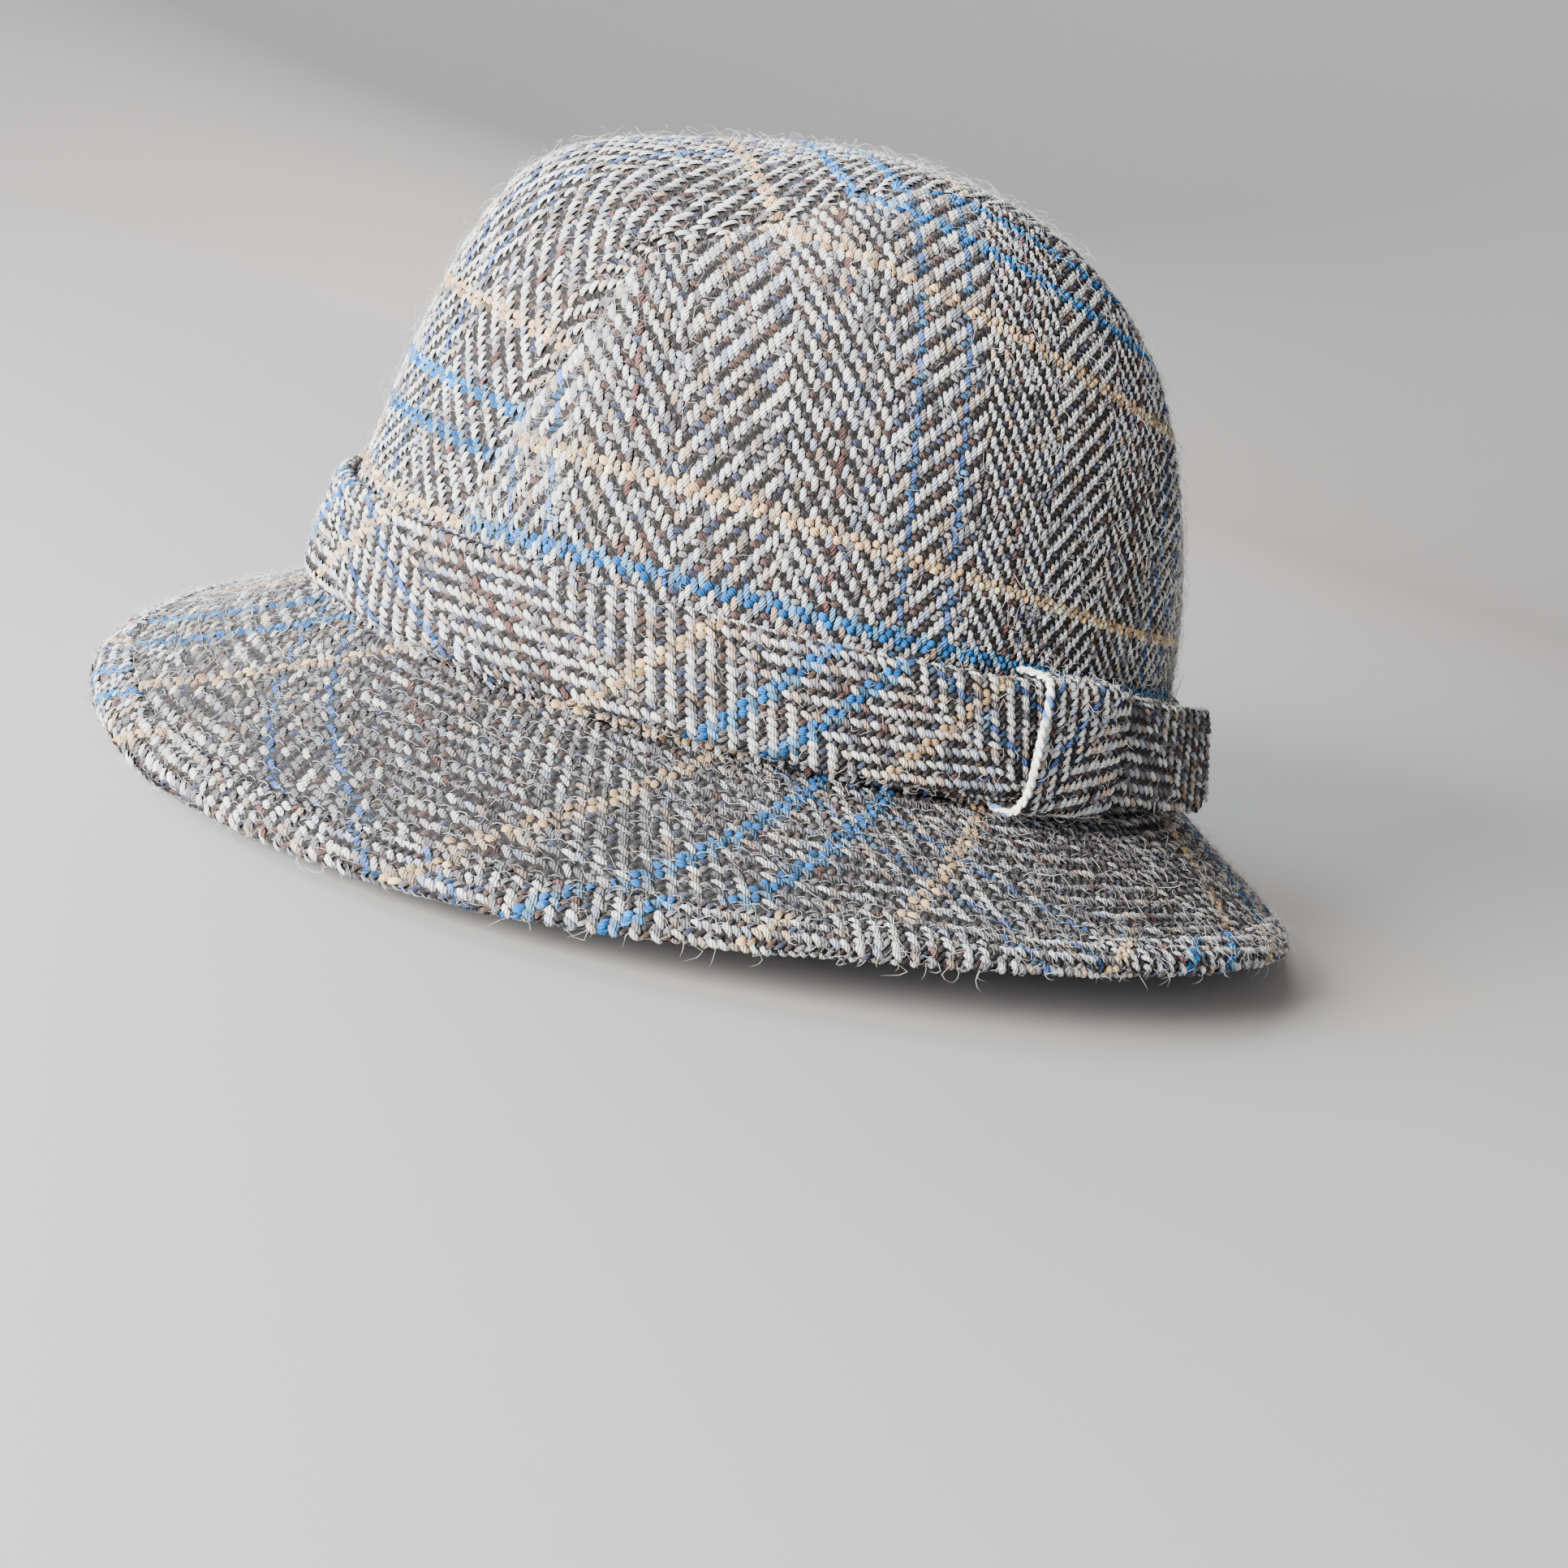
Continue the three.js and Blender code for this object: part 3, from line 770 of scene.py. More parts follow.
def grid_normals(points):
    return unit(np.cross(np.gradient(points, axis=1), np.gradient(points, axis=0)))


def seam_sink(seam):
    return SEAM_SINK * (1 - smooth(seam, 0, SEAM_RUN))


@dataclass
class Spots:
    """Places found on a cloth: which of the wanted ones, points, normals, steps by end and by pick."""

    kept: np.ndarray
    points: np.ndarray
    normals: np.ndarray
    by_end: np.ndarray
    by_pick: np.ndarray


def flat_cross(a, b):
    return a[:, 0] * b[:, 1] - a[:, 1] * b[:, 0]


def located(cloth, wanted):
    """Finds flat places on the cloth, and leaves out those beyond its edges."""
    rows, columns = cloth.seam.shape
    start = nearest(cloth.flat.reshape(-1, 2), wanted)
    r = (start // columns).astype(float)
    c = (start % columns).astype(float)
    for _ in range(NEWTON_STEPS):
        flat, by_row, by_column = blend(cloth.flat, r, c)
        miss = wanted - flat
        area = flat_cross(by_row, by_column)
        row_step = flat_cross(miss, by_column) / area
        column_step = flat_cross(by_row, miss) / area
        r = np.clip(r + np.clip(row_step, -NEWTON_REACH, NEWTON_REACH), -1, rows)
        c = np.clip(c + np.clip(column_step, -NEWTON_REACH, NEWTON_REACH), -1, columns)
    inside = (r >= 0) & (r <= rows - 1) & (c >= 0) & (c <= columns - 1)
    kept = np.nonzero(inside & (np.abs(miss).max(1) < MISS_LIMIT))[0]
    r = r[kept]
    c = c[kept]
    _, flat_row, flat_column = blend(cloth.flat, r, c)
    area = flat_cross(flat_row, flat_column)[:, None]
    points, by_row, by_column = blend(cloth.points, r, c)
    normals = unit(blend(grid_normals(cloth.points), r, c)[0])
    by_end = (by_row * flat_column[:, 1:] - by_column * flat_row[:, 1:]) / area
    by_pick = (by_column * flat_row[:, :1] - by_row * flat_column[:, :1]) / area
    sink = blend(seam_sink(cloth.seam)[..., None], r, c)[0]
    even = np.maximum(np.linalg.norm(by_end, axis=1), np.linalg.norm(by_pick, axis=1)) < STRETCH_LIMIT
    return Spots(kept[even], (points - normals * sink)[even], normals[even], by_end[even], by_pick[even])


# Meshes


@dataclass
class Mass:
    """Many small things as one mesh: points, four-sided faces, colours, places along and across the yarn."""

    points: np.ndarray
    faces: np.ndarray
    colours: np.ndarray
    twist: np.ndarray


def put_together(masses):
    fields = []
    count = 0
    for mass in masses:
        fields.append((mass.points, mass.faces + count, mass.colours, mass.twist))
        count += len(mass.points)
    return Mass(*[np.concatenate(field) for field in zip(*fields)])


def grid_faces(rows, columns, close_rows=False, close_columns=False):
    """Four-sided faces of a grid of points, which may close on itself either way."""
    at = np.arange(rows * columns).reshape(rows, columns)
    if close_rows:
        at = np.vstack([at, at[:1]])
    if close_columns:
        at = np.hstack([at, at[:, :1]])
    return np.stack([at[:-1, :-1], at[:-1, 1:], at[1:, 1:], at[1:, :-1]], -1).reshape(-1, 4)


def repeated(faces, size, count):
    """The faces of one small thing, for each of many that follow one another."""
    return (faces[None] + size * np.arange(count)[:, None, None]).reshape(-1, 4)


def linear(colour):
    """Linear colour with full opacity, from the values seen on a screen."""
    c = np.asarray(colour, float) / 255
    c = np.where(c <= 0.04045, c / 12.92, ((c + 0.055) / 1.055) ** 2.4)
    return np.concatenate([c, np.ones(c.shape[:-1] + (1,))], -1)


def toned(colours, number, rng, yarn_spread, float_spread):
    """Colours that vary a little from yarn to yarn and from float to float."""
    yarn = rng.normal(1, yarn_spread, REPEAT * TONE_REPEATS)
    tone = yarn[number % len(yarn)] * rng.normal(1, float_spread, len(number))
    return linear(np.clip(colours * tone[:, None], DARKEST, BRIGHTEST))


def mixed(kinds, shares, count, rng):
    """A colour for each of many floats, drawn from a few kinds."""
    return np.array(kinds, float)[rng.choice(len(kinds), count, p=shares)]


def warp_colours(number, place, look, rng):
    shares = [share * (1 - look.heather) for share in WARP_SHARES]
    colours = mixed(WARP_KINDS + (HEATHER,), shares + [look.heather], len(number), rng)
    colours[np.isin(number % REPEAT, BLUE_ENDS)] = PALE_BLUE
    dyed = np.isin(number % REPEAT, RUST_ENDS) & (rng.random(len(number)) < RUST_SHARE)
    colours[dyed] = RUST
    crossed = np.floor(place[:, 1] / PICK - 0.5).astype(int) % REPEAT
    for picks, colour in ((BLUE_PICKS, BLUE), (TAN_PICKS, TAN)):
        under = np.isin(crossed, picks)
        colours[under] += (np.array(colour) - colours[under]) * CROSSING_TINT
    return toned(colours * look.tone, number, rng, *WARP_TONES)


def weft_colours(number, place, look, rng):
    colours = mixed(WEFT_KINDS, WEFT_SHARES, len(number), rng)
    crossed = np.floor(place[:, 0] / END - 0.5).astype(int) % REPEAT
    under = np.isin(crossed, BLUE_ENDS) | np.isin(crossed + 1, BLUE_ENDS)
    colours[under] += (np.array(BLUE) - colours[under]) * CROSSING_TINT
    colours[np.isin(number % REPEAT, BLUE_PICKS)] = BLUE
    colours[np.isin(number % REPEAT, TAN_PICKS)] = TAN
    return toned(colours * look.tone, number, rng, *WEFT_TONES)


def floats(spots, length, side_size, axis, yarn, look, colours, accent, rng):
    """Short arches of yarn over the cloth, which dive under it at both ends, with painted shade darkening
    their ends and sides.
    """
    count = len(spots.kept)
    t = np.linspace(-1, 1, yarn.rings)
    a = np.radians(np.linspace(-ARCH_ANGLE, ARCH_ANGLE, yarn.sides))
    half = yarn.half_width * side_size * (rng.normal(1, WIDTH_SPREAD, count) + ACCENT_FULLNESS * accent)
    top = yarn.top * look.loft * rng.normal(1, TOP_SPREAD, count)
    top = top + rng.normal(0, LIFT_SPREAD, count) + ACCENT_LIFT * accent
    forward = unit(axis)
    side = np.cross(forward, spots.normals)
    angle = rng.normal(0, look.stray, count)[:, None]
    forward = forward + side * angle
    reach = length * np.linalg.norm(axis, axis=1) / 2 * yarn.overlap * rng.normal(1, LENGTH_SPREAD, count)
    along = reach[:, None] * t
    shape = 1 - END_TAPER * np.abs(t) ** TAPER_POWER
    height = top[:, None] - (top + YARN_DIVE)[:, None] * np.abs(t) ** DIVE_POWER
    across = half[:, None, None] * (shape[:, None] * np.sin(a))[None]
    up = height[:, :, None] + half[:, None, None] * (shape[:, None] * (np.cos(a) - 1))[None] * ARCH_ROUND
    middle = spots.points + side * rng.normal(0, look.stray, count)[:, None]
    points = (
        middle[:, None, None]
        + forward[:, None, None] * along[:, :, None, None]
        + side[:, None, None] * across[..., None]
        + spots.normals[:, None, None] * up[..., None]
    )
    size = yarn.rings * yarn.sides
    twist = np.stack([np.broadcast_to(along[:, :, None], across.shape), across], -1)
    twist = twist + rng.uniform(0, TWIST_RANGE, count)[:, None, None, None] * np.array([1, 0])
    faces = repeated(grid_faces(yarn.rings, yarn.sides), size, count)
    bloom = np.where(accent, ACCENT_BLOOM, yarn.bloom)[:, None, None, None] * (t * t)[None, :, None, None]
    paled = colours[:, None, None] * (1 - bloom) + linear(BLOOM) * bloom
    # Painted shade: each float darker towards its ends, where it dives under the cloth, and towards its sides
    shade = (1 - yarn.shade * t**PAINTED_SHADE_POWER)[:, None] * (1 - yarn.shade * np.sin(a) ** 2)
    with_painted_shade = paled * shade[None, :, :, None]
    return Mass(points.reshape(-1, 3), faces, with_painted_shade.reshape(-1, 4), twist.reshape(-1, 2))


def weave(cloth, look, rng):
    """All the floats of a piece of cloth."""
    warp, weft = float_places(cloth.flat)
    masses = []
    for places, yarn, paint in ((warp, WARP_YARN, warp_colours), (weft, WEFT_YARN, weft_colours)):
        wanted, length, number = places
        spots = located(cloth, wanted)
        axis, beside = (spots.by_pick, spots.by_end) if yarn is WARP_YARN else (spots.by_end, spots.by_pick)
        number = number[spots.kept]
        colours = paint(number, wanted[spots.kept], look, rng)
        accent = np.isin(number % REPEAT, BLUE_PICKS + TAN_PICKS) & (yarn is WEFT_YARN)
        size = np.linalg.norm(beside, axis=1)
        masses.append(floats(spots, length[spots.kept], size, axis, yarn, look, colours, accent, rng))
    return put_together(masses)


def tubes(paths, normals, radius, sides, colours):
    """Thin round threads along many paths of as many points each."""
    count, rings = paths.shape[:2]
    forward = unit(np.gradient(paths, axis=1))
    side = unit(np.cross(forward, normals[:, None]))
    up = np.cross(side, forward)
    a = np.arange(sides) * 2 * math.pi / sides
    radius = np.broadcast_to(radius, (count, rings))[..., None, None]
    ring = side[:, :, None] * np.cos(a)[:, None] + up[:, :, None] * np.sin(a)[:, None]
    points = paths[:, :, None] + radius * ring
    size = rings * sides
    faces = repeated(grid_faces(rings, sides, close_columns=True), size, count)
    along = np.linspace(0, TUBE_TWIST, rings)[None, :, None] + 0 * points[..., 0]
    twist = np.stack([along, np.broadcast_to(a / math.pi, along.shape)], -1)
    return Mass(points.reshape(-1, 3), faces, np.repeat(colours, size, 0), twist.reshape(-1, 2))


def fibres(cloth, count, longest, rng, rows=None):
    """Stray fibres that stand off the cloth in loose curls."""
    low, high = rows if rows else (0, cloth.points.shape[0] - 1)
    r = rng.uniform(low, high, count)
    c = rng.uniform(0, cloth.points.shape[1] - 1, count)
    points, by_row, by_column = blend(cloth.points, r, c)
    normals = unit(blend(grid_normals(cloth.points), r, c)[0])
    heading = rng.uniform(0, 2 * math.pi, count)[:, None]
    forward = unit(by_row) * np.cos(heading) + unit(by_column) * np.sin(heading)
    side = np.cross(forward, normals)
    t = np.linspace(0, 1, len(FIBRE_TAPER))[None, :, None]
    length = rng.uniform(*FIBRE_LENGTH_SHARES, count)[:, None, None] ** 2 * longest
    lift = rng.uniform(*FIBRE_LIFTS, count)[:, None, None] * length
    curl = rng.normal(0, FIBRE_CURL, count)[:, None, None] * length
    start = points + normals * WARP_YARN.top * FIBRE_START
    rise = normals[:, None] * lift * np.sin(t * FIBRE_ARCH)
    sway = side[:, None] * curl * np.sin(t * FIBRE_WAVE)
    paths = start[:, None] + forward[:, None] * length * t + rise + sway
    taper = FIBRE_RADIUS * np.array(FIBRE_TAPER)
    shade = rng.uniform(*FIBRE_SHADES, count)[:, None] * np.array(CREAM, float)
    return tubes(paths, normals, taper, FIBRE_SIDES, linear(np.clip(shade, 0, BRIGHTEST_FIBRE)))


def stitch_row(share, rng):
    """A row of short pale stitches round the brim."""
    turns = np.linspace(-180, 180, STITCH_STEPS)
    points = brim_points(turns, share, 0)
    length = running_length(points)
    starts = np.arange(0, length[-1] - STITCH_PITCH, STITCH_PITCH)
    starts = starts + rng.uniform(-STITCH_UNEVEN, STITCH_UNEVEN, len(starts))
    t = np.linspace(0, 1, STITCH_POINTS)
    wander = share + rng.normal(0, STITCH_WANDER, len(starts))[:, None]
    at = np.interp(starts[:, None] + STITCH_LENGTH * t, length, turns)
    height = STITCH_LIFT - STITCH_DIVE * np.abs(2 * t - 1) ** 3
    paths = brim_points(at, wander, height)
    shade = rng.uniform(*STITCH_SHADES, len(starts))[:, None] * np.array(THREAD, float)
    colours = linear(np.clip(shade, 0, BRIGHTEST))
    return tubes(paths, np.tile(UP, (len(starts), 1)), STITCH_RADIUS, STITCH_SIDES, colours)


def edge_yarn():
    """The thick two-ply yarn along the loop's front edge."""
    around = even_around(EDGE_FROM, EDGE_TO, EDGE_POINTS, loop_lie, LOOP_FROM)
    share = np.linspace(0, 1, len(around))
    lead = EDGE_FLARE * (1 - smooth(share, *EDGE_FLARE_OVER)) + EDGE_HOOK * smooth(share, *EDGE_HOOK_OVER)
    route = strap_points(LOOP_FROM - lead, around, loop_lie)
    run = running_length(route)
    _, out = oval(np.array([LOOP_FROM]))
    way = unit(np.gradient(route, axis=0))
    side = unit(np.cross(way, out))
    up = np.cross(side, way)
    masses = []
    for ply in (0, math.pi):
        a = (run / EDGE_TWIST * 2 * math.pi + ply)[:, None]
        path = route + EDGE_RADIUS * EDGE_PLY_REACH * (side * np.cos(a) + up * np.sin(a))
        strand = tubes(path[None], out, EDGE_RADIUS, EDGE_SIDES, linear(np.array([CREAM], float)))
        dyed = np.abs(share[:, None] - np.array(EDGE_BLUE)).min(axis=1) < EDGE_BLUE_RUN
        strand.colours[np.repeat(dyed, EDGE_SIDES) & (ply == 0)] = linear(PALE_BLUE)
        masses.append(strand)
    return put_together(masses)


def wall(cloth, thickness):
    """A closed sheet of cloth under the weave, dark outside with the weft's colour and painted shade of the
    gaps between floats, and mixed grey inside.
    """
    normals = grid_normals(cloth.points)
    outer = cloth.points - normals * (BASE_SINK + seam_sink(cloth.seam))[..., None]
    inner = cloth.points - normals * thickness
    rows, columns = cloth.seam.shape
    count = rows * columns
    at = np.arange(count).reshape(rows, columns)
    faces = grid_faces(rows, columns)
    edge = np.concatenate([at[0], at[1:, -1], at[-1, -2::-1], at[-2:0:-1, 0]])
    ahead = np.roll(edge, -1)
    rim = np.stack([edge, edge + count, ahead + count, ahead], -1)
    faces = np.concatenate([faces, faces[:, ::-1] + count, rim])
    return painted(np.concatenate([outer.reshape(-1, 3), inner.reshape(-1, 3)]), faces, count)


def painted(points, faces, outside):
    """A wall's mesh, with the weft's dark colour and painted shade of the gaps between floats on its first
    points, and a mixed grey on the rest.
    """
    dark = np.tile(linear(DARK_WEFT_AND_GAP_SHADE), (outside, 1))
    grey = np.tile(linear(HEATHER), (len(points) - outside, 1))
    return Mass(points, faces, np.concatenate([dark, grey]), points[:, :2])


def brim_wall():
    """The brim's two layers and folded hem as one closed ring."""
    turn = np.linspace(-180, 180, BRIM_WALL_TURNS, endpoint=False)
    top = [(share, -BASE_SINK) for share in np.linspace(-BRIM_UNDER, HEM_SHARE, BRIM_WALL_ROWS)]
    inner = np.linspace(BRIM_WALL_UNDER, -BRIM_UNDER, BRIM_WALL_ROWS)
    under = BRIM_WALL_FOLD + [(share, -BRIM_CLOTH) for share in inner]
    section = (top + BRIM_WALL_HEM + under)[::-1]
    points = swept(section, turn)
    faces = grid_faces(len(section), len(turn), close_rows=True, close_columns=True)
    mass = painted(points.reshape(-1, 3), faces, 0)
    # The upper face, under the weave, takes the dark weft colour with painted shade of the gaps between
    # floats
    mass.colours[len(under) * len(turn) :] = linear(DARK_WEFT_AND_GAP_SHADE)
    return mass


def round_section(turns, lie, inset):
    """A strap's whole section at each turn, set in from its face."""
    angles = even_around(-180, 180, SECTION_POINTS, lie, float(turns[0]))[:-1]
    turn, around = np.meshgrid(turns, angles)
    return strap_points(turn, around, lie, inset)


def ring_wall(points):
    """A closed ring of cloth, dark all over: the weft's colour together with painted shade of the gaps
    between floats.
    """
    faces = grid_faces(*points.shape[:2], close_rows=True, close_columns=True)
    return painted(points.reshape(-1, 3), faces, points.shape[0] * points.shape[1])


def band_wall():
    turns = np.linspace(0, 360, BAND_WALL_TURNS, endpoint=False)
    return ring_wall(round_section(turns, band_lie, BASE_SINK))


def tail_wall():
    points = round_section(tail_turns(), tail_lie, BASE_SINK)
    rows, columns = points.shape[:2]
    at = np.arange(rows * columns).reshape(rows, columns)
    half = rows // 2
    caps = []
    for column, order in ((0, 1), (columns - 1, -1)):
        ring = at[:, column]
        k = np.arange(half - 1)
        cap = np.stack([ring[k], ring[rows - 1 - k], ring[rows - 2 - k], ring[k + 1]], -1)
        caps.append(cap[:, ::-order])
    faces = np.concatenate([grid_faces(rows, columns, close_rows=True)] + caps)
    return painted(points.reshape(-1, 3), faces, rows * columns)


def loop_wall():
    outer = round_section(loop_turns(), loop_lie, BASE_SINK)
    inner = round_section(loop_turns(), loop_lie, LOOP_CLOTH)
    return ring_wall(np.concatenate([outer, inner[:, ::-1]], axis=1))


def put_in_scene(name, data):
    thing = bpy.data.objects.new(name, data)
    bpy.context.scene.collection.objects.link(thing)
    return thing


def make_piece(name, mass, material):
    """A mesh in metres above the floor, which rides on the hat."""
    mesh = bpy.data.meshes.new(name)
    count = len(mass.faces)
    points = mass.points + UP * FOOT_HEIGHT
    points[:, 2] = np.maximum(points[:, 2], 0)
    mesh.vertices.add(len(points))
    mesh.vertices.foreach_set("co", (points * MM).ravel())
    mesh.loops.add(count * 4)
    mesh.loops.foreach_set("vertex_index", mass.faces.ravel().astype(np.int32))
    mesh.polygons.add(count)
    mesh.polygons.foreach_set("loop_start", np.arange(0, count * 4, 4, dtype=np.int32))
    mesh.polygons.foreach_set("use_smooth", np.ones(count, dtype=bool))
    colours = mesh.attributes.new("yarn", "FLOAT_COLOR", "POINT")
    colours.data.foreach_set("color", mass.colours.ravel())
    twist = mesh.uv_layers.new(name="Twist")
    twist.data.foreach_set("uv", mass.twist[mass.faces.ravel()].ravel())
    mesh.update(calc_edges=True)
    mesh.validate()
    mesh.materials.append(material)
    piece = put_in_scene(name, mesh)
    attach(piece, "root")
    return piece


# Materials


def add_node(material, kind, inputs):
    """A new node, with each input set to a value or joined to another node's output."""
    node = material.node_tree.nodes.new(kind)
    for name, value in inputs.items():
        if isinstance(value, bpy.types.NodeSocket):
            material.node_tree.links.new(value, node.inputs[name])
        else:
            node.inputs[name].default_value = value
    return node


def mottled(material, mottle):
    """A shade that varies in small patches."""
    place = add_node(material, "ShaderNodeTexCoord", {}).outputs["Object"]
    patches = {"Vector": place, "Scale": MOTTLE_SCALE, "Detail": MOTTLE_DETAIL}
    noise = add_node(material, "ShaderNodeTexNoise", patches).outputs["Fac"]
    limits = {"From Min": MOTTLE_FROM, "From Max": MOTTLE_TO, "To Min": 1 - mottle, "To Max": 1 + mottle}
    return add_node(material, "ShaderNodeMapRange", {"Value": noise} | limits).outputs["Result"]


def twisted(material):
    """Slanting ridges, the plies of each yarn."""
    local = add_node(material, "ShaderNodeUVMap", {})
    local.uv_map = "Twist"
    turn = (0, 0, math.radians(PLY_ANGLE))
    slant = add_node(material, "ShaderNodeMapping", {"Vector": local.outputs["UV"], "Rotation": turn})
    ridges = {"Scale": PLY_SCALE, "Distortion": PLY_DISTORTION, "Detail": PLY_DETAIL}
    ridges["Vector"] = slant.outputs["Vector"]
    return add_node(material, "ShaderNodeTexWave", ridges).outputs["Fac"]


def wool(name, roughness, sheen, ply_relief_and_shade, mottle):
    """Spun wool: each yarn's own colour, mottled, with the slanting lines of its twist as bump, as painted
    shade in the grooves between its plies and as painted light on their crests.
    """
    material = bpy.data.materials.new(name)
    material.use_nodes = True
    links = material.node_tree.links
    shader = material.node_tree.nodes["Principled BSDF"]
    shader.inputs["Roughness"].default_value = roughness
    shader.inputs["Sheen Weight"].default_value = sheen
    shader.inputs["Sheen Roughness"].default_value = SHEEN_ROUGHNESS
    shader.inputs["Specular IOR Level"].default_value = WOOL_SPECULAR
    yarn = add_node(material, "ShaderNodeAttribute", {})
    yarn.attribute_name = "yarn"
    plies = twisted(material)
    # Painted shade in the ply grooves and painted light on the ply crests, scaled with the relief
    limits = {"To Min": 1 - ply_relief_and_shade * PLY_SHADE, "To Max": 1 + ply_relief_and_shade * PLY_SHADE / 2}
    painted_ply_shade = add_node(material, "ShaderNodeMapRange", {"Value": plies} | limits).outputs["Result"]
    both = add_node(material, "ShaderNodeMath", {0: mottled(material, mottle), 1: painted_ply_shade})
    both.operation = "MULTIPLY"
    tint = add_node(material, "ShaderNodeVectorMath", {0: yarn.outputs["Color"]})
    tint.operation = "SCALE"
    links.new(both.outputs["Value"], tint.inputs["Scale"])
    links.new(tint.outputs["Vector"], shader.inputs["Base Color"])
    relief = {"Strength": ply_relief_and_shade, "Distance": PLY_DEPTH, "Height": plies}
    bump = add_node(material, "ShaderNodeBump", relief)
    links.new(bump.outputs["Normal"], shader.inputs["Normal"])
    return material


def plain(name, colour, roughness):
    material = bpy.data.materials.new(name)
    material.use_nodes = True
    shader = material.node_tree.nodes["Principled BSDF"]
    shader.inputs["Base Color"].default_value = linear(colour)
    shader.inputs["Roughness"].default_value = roughness
    return material


# Camera, floor and light


def add_camera():
    bearing = math.radians(CAMERA_BEARING)
    height = math.radians(CAMERA_HEIGHT_ANGLE)
    level = Vector((math.sin(bearing), -math.cos(bearing), 0))
    away = level * math.cos(height) + Vector(UP) * math.sin(height)
    look = -away
    right = look.cross(Vector(UP)).normalized()
    place = (Vector(UP) * CAMERA_AIM_HEIGHT + away * CAMERA_DISTANCE) * MM
    turn = Matrix.Rotation(math.radians(-CAMERA_YAW), 3, right.cross(look))
    look = turn @ look
    right = turn @ right
    turn = Matrix.Rotation(math.radians(CAMERA_PITCH), 3, right)
    look = turn @ look
    right = Matrix.Rotation(math.radians(-CAMERA_ROLL), 3, look) @ right
    camera = bpy.data.cameras.new("camera")
    camera.lens = CAMERA_LENS
    camera.sensor_width = CAMERA_SENSOR
    camera.clip_start = CAMERA_CLIP
    holder = put_in_scene("camera", camera)
    axes = Matrix((right, right.cross(look), -look)).transposed()
    holder.matrix_world = Matrix.Translation(place) @ axes.to_4x4()
    bpy.context.scene.camera = holder


def add_floor():
    """A round floor that curves up into a wall."""
    angle = np.linspace(0, math.pi / 2, FLOOR_ARC_STEPS)
    edge = FLOOR_RADIUS + FLOOR_CURVE
    radius = np.concatenate([FLOOR_INNER, FLOOR_RADIUS + FLOOR_CURVE * np.sin(angle), [edge]])
    height = np.concatenate([[0, 0], FLOOR_CURVE * (1 - np.cos(angle)), [FLOOR_WALL]])
    around = np.linspace(0, 2 * math.pi, FLOOR_SIDES, endpoint=False)
    ring = np.stack([np.cos(around), np.sin(around), 0 * around], -1)
    rows = [ring * r + UP * h for r, h in zip(radius, height)]
    points = np.concatenate(rows)
    faces = grid_faces(len(rows), len(around), close_columns=True)[:, ::-1]
    mesh = bpy.data.meshes.new("floor")
    mesh.from_pydata(points.tolist(), [], faces.tolist())
    mesh.polygons.foreach_set("use_smooth", np.ones(len(faces), dtype=bool))
    mesh.materials.append(plain("floor", FLOOR_COLOUR, FLOOR_ROUGHNESS))
    floor = put_in_scene("floor", mesh)


def add_light(name, place, size, power, colour):
    light = bpy.data.lights.new(name, "AREA")
    light.shape = "DISK"
    light.size = size
    light.energy = power
    light.color = colour
    holder = put_in_scene(name, light)
    way = Vector(LIGHT_AIM) - Vector(place)
    holder.matrix_world = Matrix.Translation(place) @ way.to_track_quat("-Z", "Y").to_matrix().to_4x4()
    holder.visible_camera = False


def add_lights():
    for settings in LIGHTS:
        add_light(*settings)
    world = bpy.data.worlds.new("studio")
    world.use_nodes = True
    background = world.node_tree.nodes["Background"]
    background.inputs["Color"].default_value = SHADE_COLOUR + (1,)
    background.inputs["Strength"].default_value = WORLD_STRENGTH
    bpy.context.scene.world = world


# The hat


def declare(node):
    """Hides the node's imported part; the wall, a sheet of cloth that carries its weave, is made in its
    place.
    """
    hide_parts(node)


def make_pieces(node, masses, material, fuzz):
    """A node's pieces, each named for what it is, with the stray fibres in their own wool."""
    pieces = []
    for kind, mass in masses.items():
        pieces.append(make_piece(node + "." + kind, mass, fuzz if "fibres" in kind else material))
    return pieces


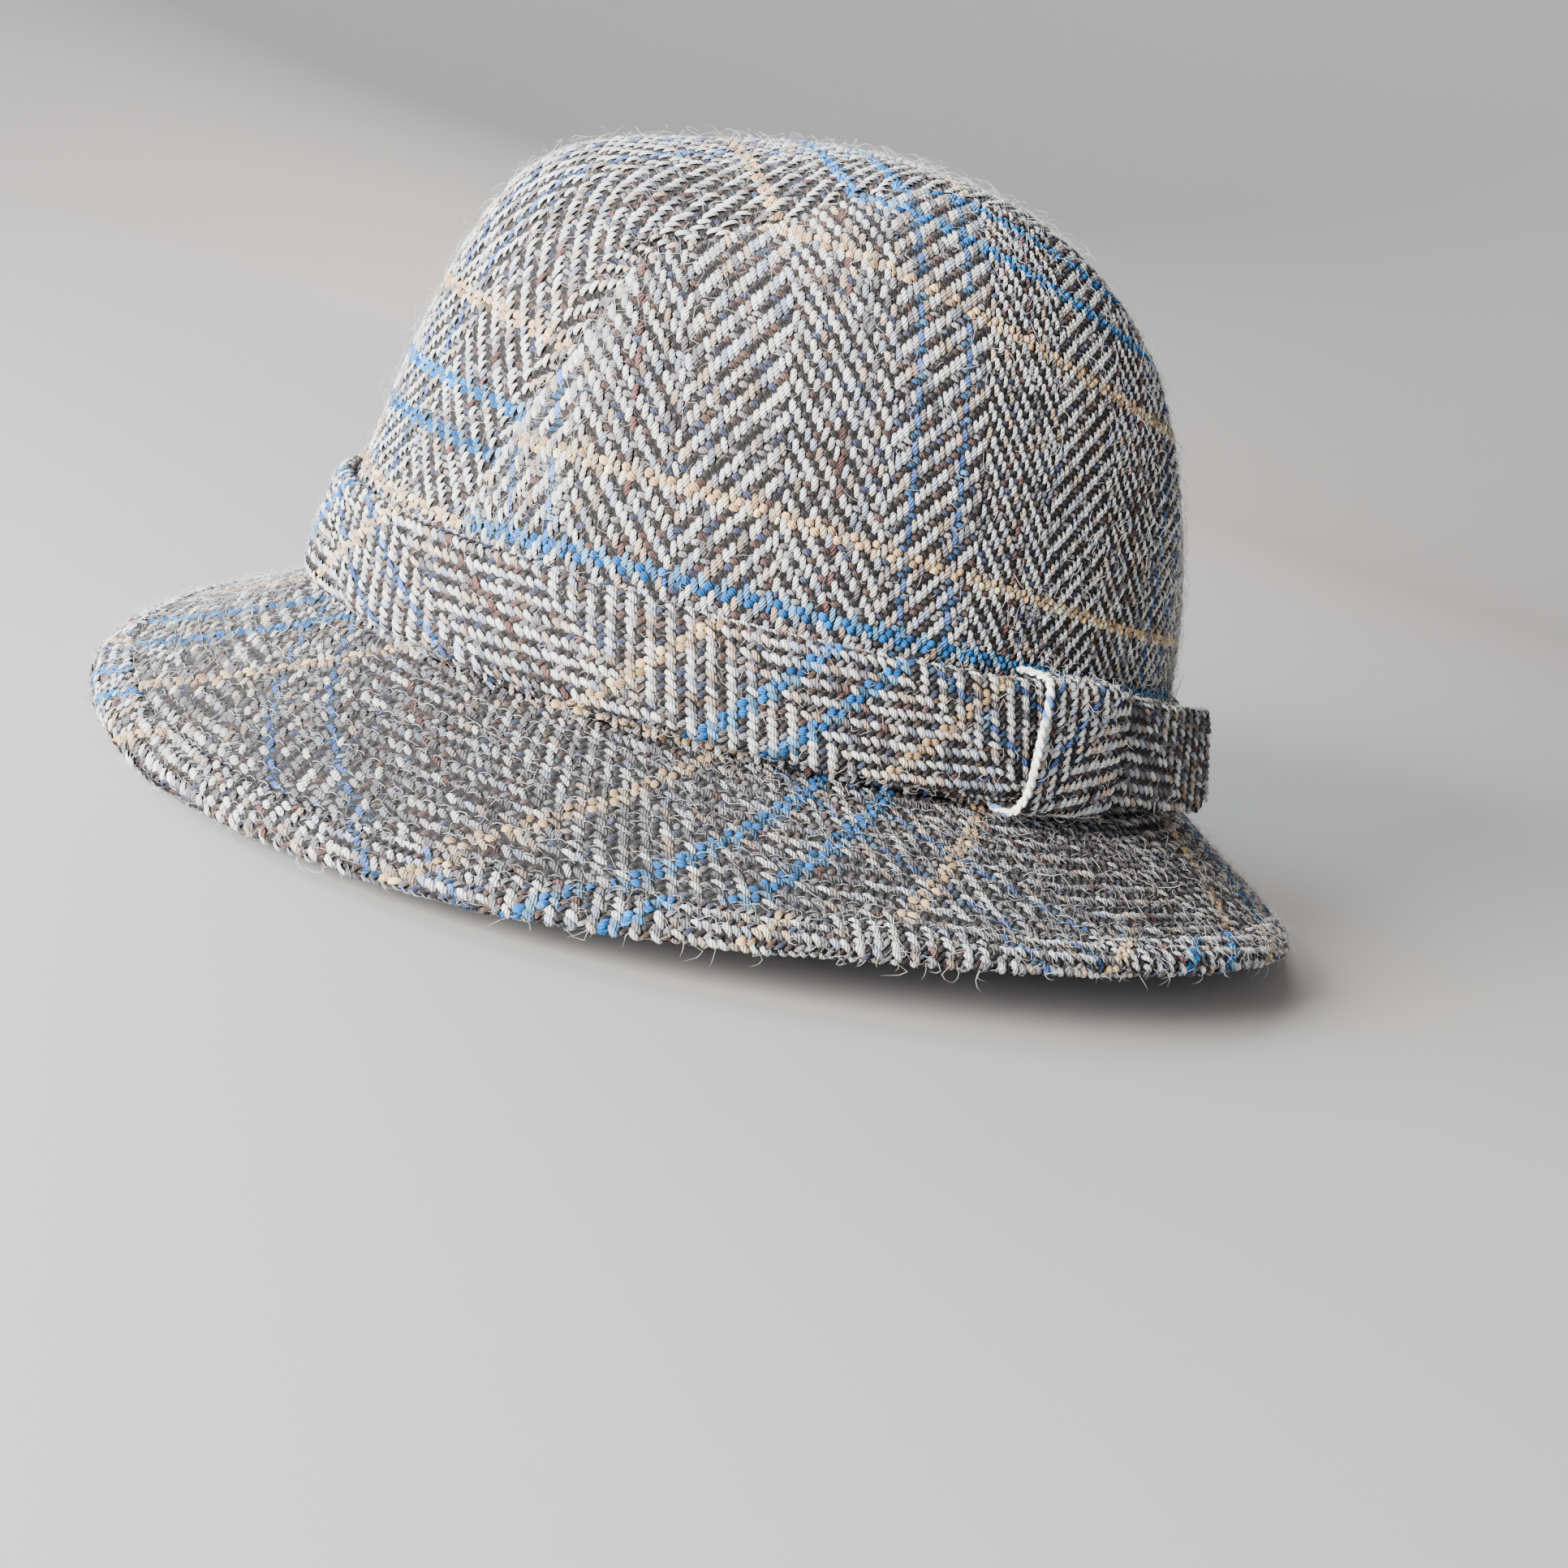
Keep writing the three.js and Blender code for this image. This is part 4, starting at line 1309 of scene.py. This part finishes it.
def build_crown(rng, material, fuzz):
    left = panel_cloth()
    cloths = {"crown_center": strip_cloth(), "crown_side_left": left, "crown_side_right": mirrored(left)}
    for node, cloth in cloths.items():
        masses = {
            "wall": wall(cloth, CROWN_CLOTH),
            "weave": weave(cloth, CROWN_LOOK, rng),
            "fibres": fibres(cloth, CROWN_FIBRES, FIBRE_LENGTH, rng),
        }
        base, *parts = make_pieces(node, masses, material, fuzz)
        declare(node)


def build_brim(rng, material, fuzz):
    cloth = brim_cloth()
    hem = hem_cloth()
    masses = {
        "wall": brim_wall(),
        "weave": weave(cloth, BRIM_LOOK, rng),
        "hem": weave(hem, HEM_LOOK, rng),
        "stitches": put_together([stitch_row(share, rng) for share in STITCH_SHARES]),
        "fibres": fibres(cloth, BRIM_FIBRES, FIBRE_LENGTH, rng),
        "rim_fibres": fibres(hem, HEM_FIBRES, HEM_FIBRE_LENGTH, rng, HEM_FIBRE_ROWS),
    }
    base, *parts = make_pieces("brim", masses, material, fuzz)
    declare("brim")


def build_strap(rng, material, fuzz):
    straps = {
        "hat_band": (band_wall(), band_cloth(), BAND_LOOK),
        "band_tail": (tail_wall(), tail_cloth(), TAIL_LOOK_WITH_PAINTED_SHADE),
        "band_keeper": (loop_wall(), loop_cloth(), KEEPER_LOOK_WITH_PAINTED_LIGHT),
    }
    for node, (base_mass, cloth, look) in straps.items():
        length = STRAP_LENGTHS[node]
        count = int(BAND_FIBRES * length / STRAP_LENGTHS["hat_band"])
        masses = {
            "wall": base_mass,
            "weave": weave(cloth, look, rng),
            "fibres": fibres(cloth, count, BAND_FIBRE_LENGTH, rng),
        }
        if node == "band_keeper":
            masses["edge"] = edge_yarn()
        base, *parts = make_pieces(node, masses, material, fuzz)
        declare(node)


def main():
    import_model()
    rng = np.random.default_rng(SEED)
    material = wool("tweed", roughness=0.9, sheen=0.08, ply_relief_and_shade=0.6, mottle=0.22)
    fuzz = wool("wool_fibre", roughness=0.9, sheen=0.3, ply_relief_and_shade=0.0, mottle=0.05)
    build_crown(rng, material, fuzz)
    build_brim(rng, material, fuzz)
    build_strap(rng, material, fuzz)
    add_floor()
    add_lights()
    add_camera()


main()
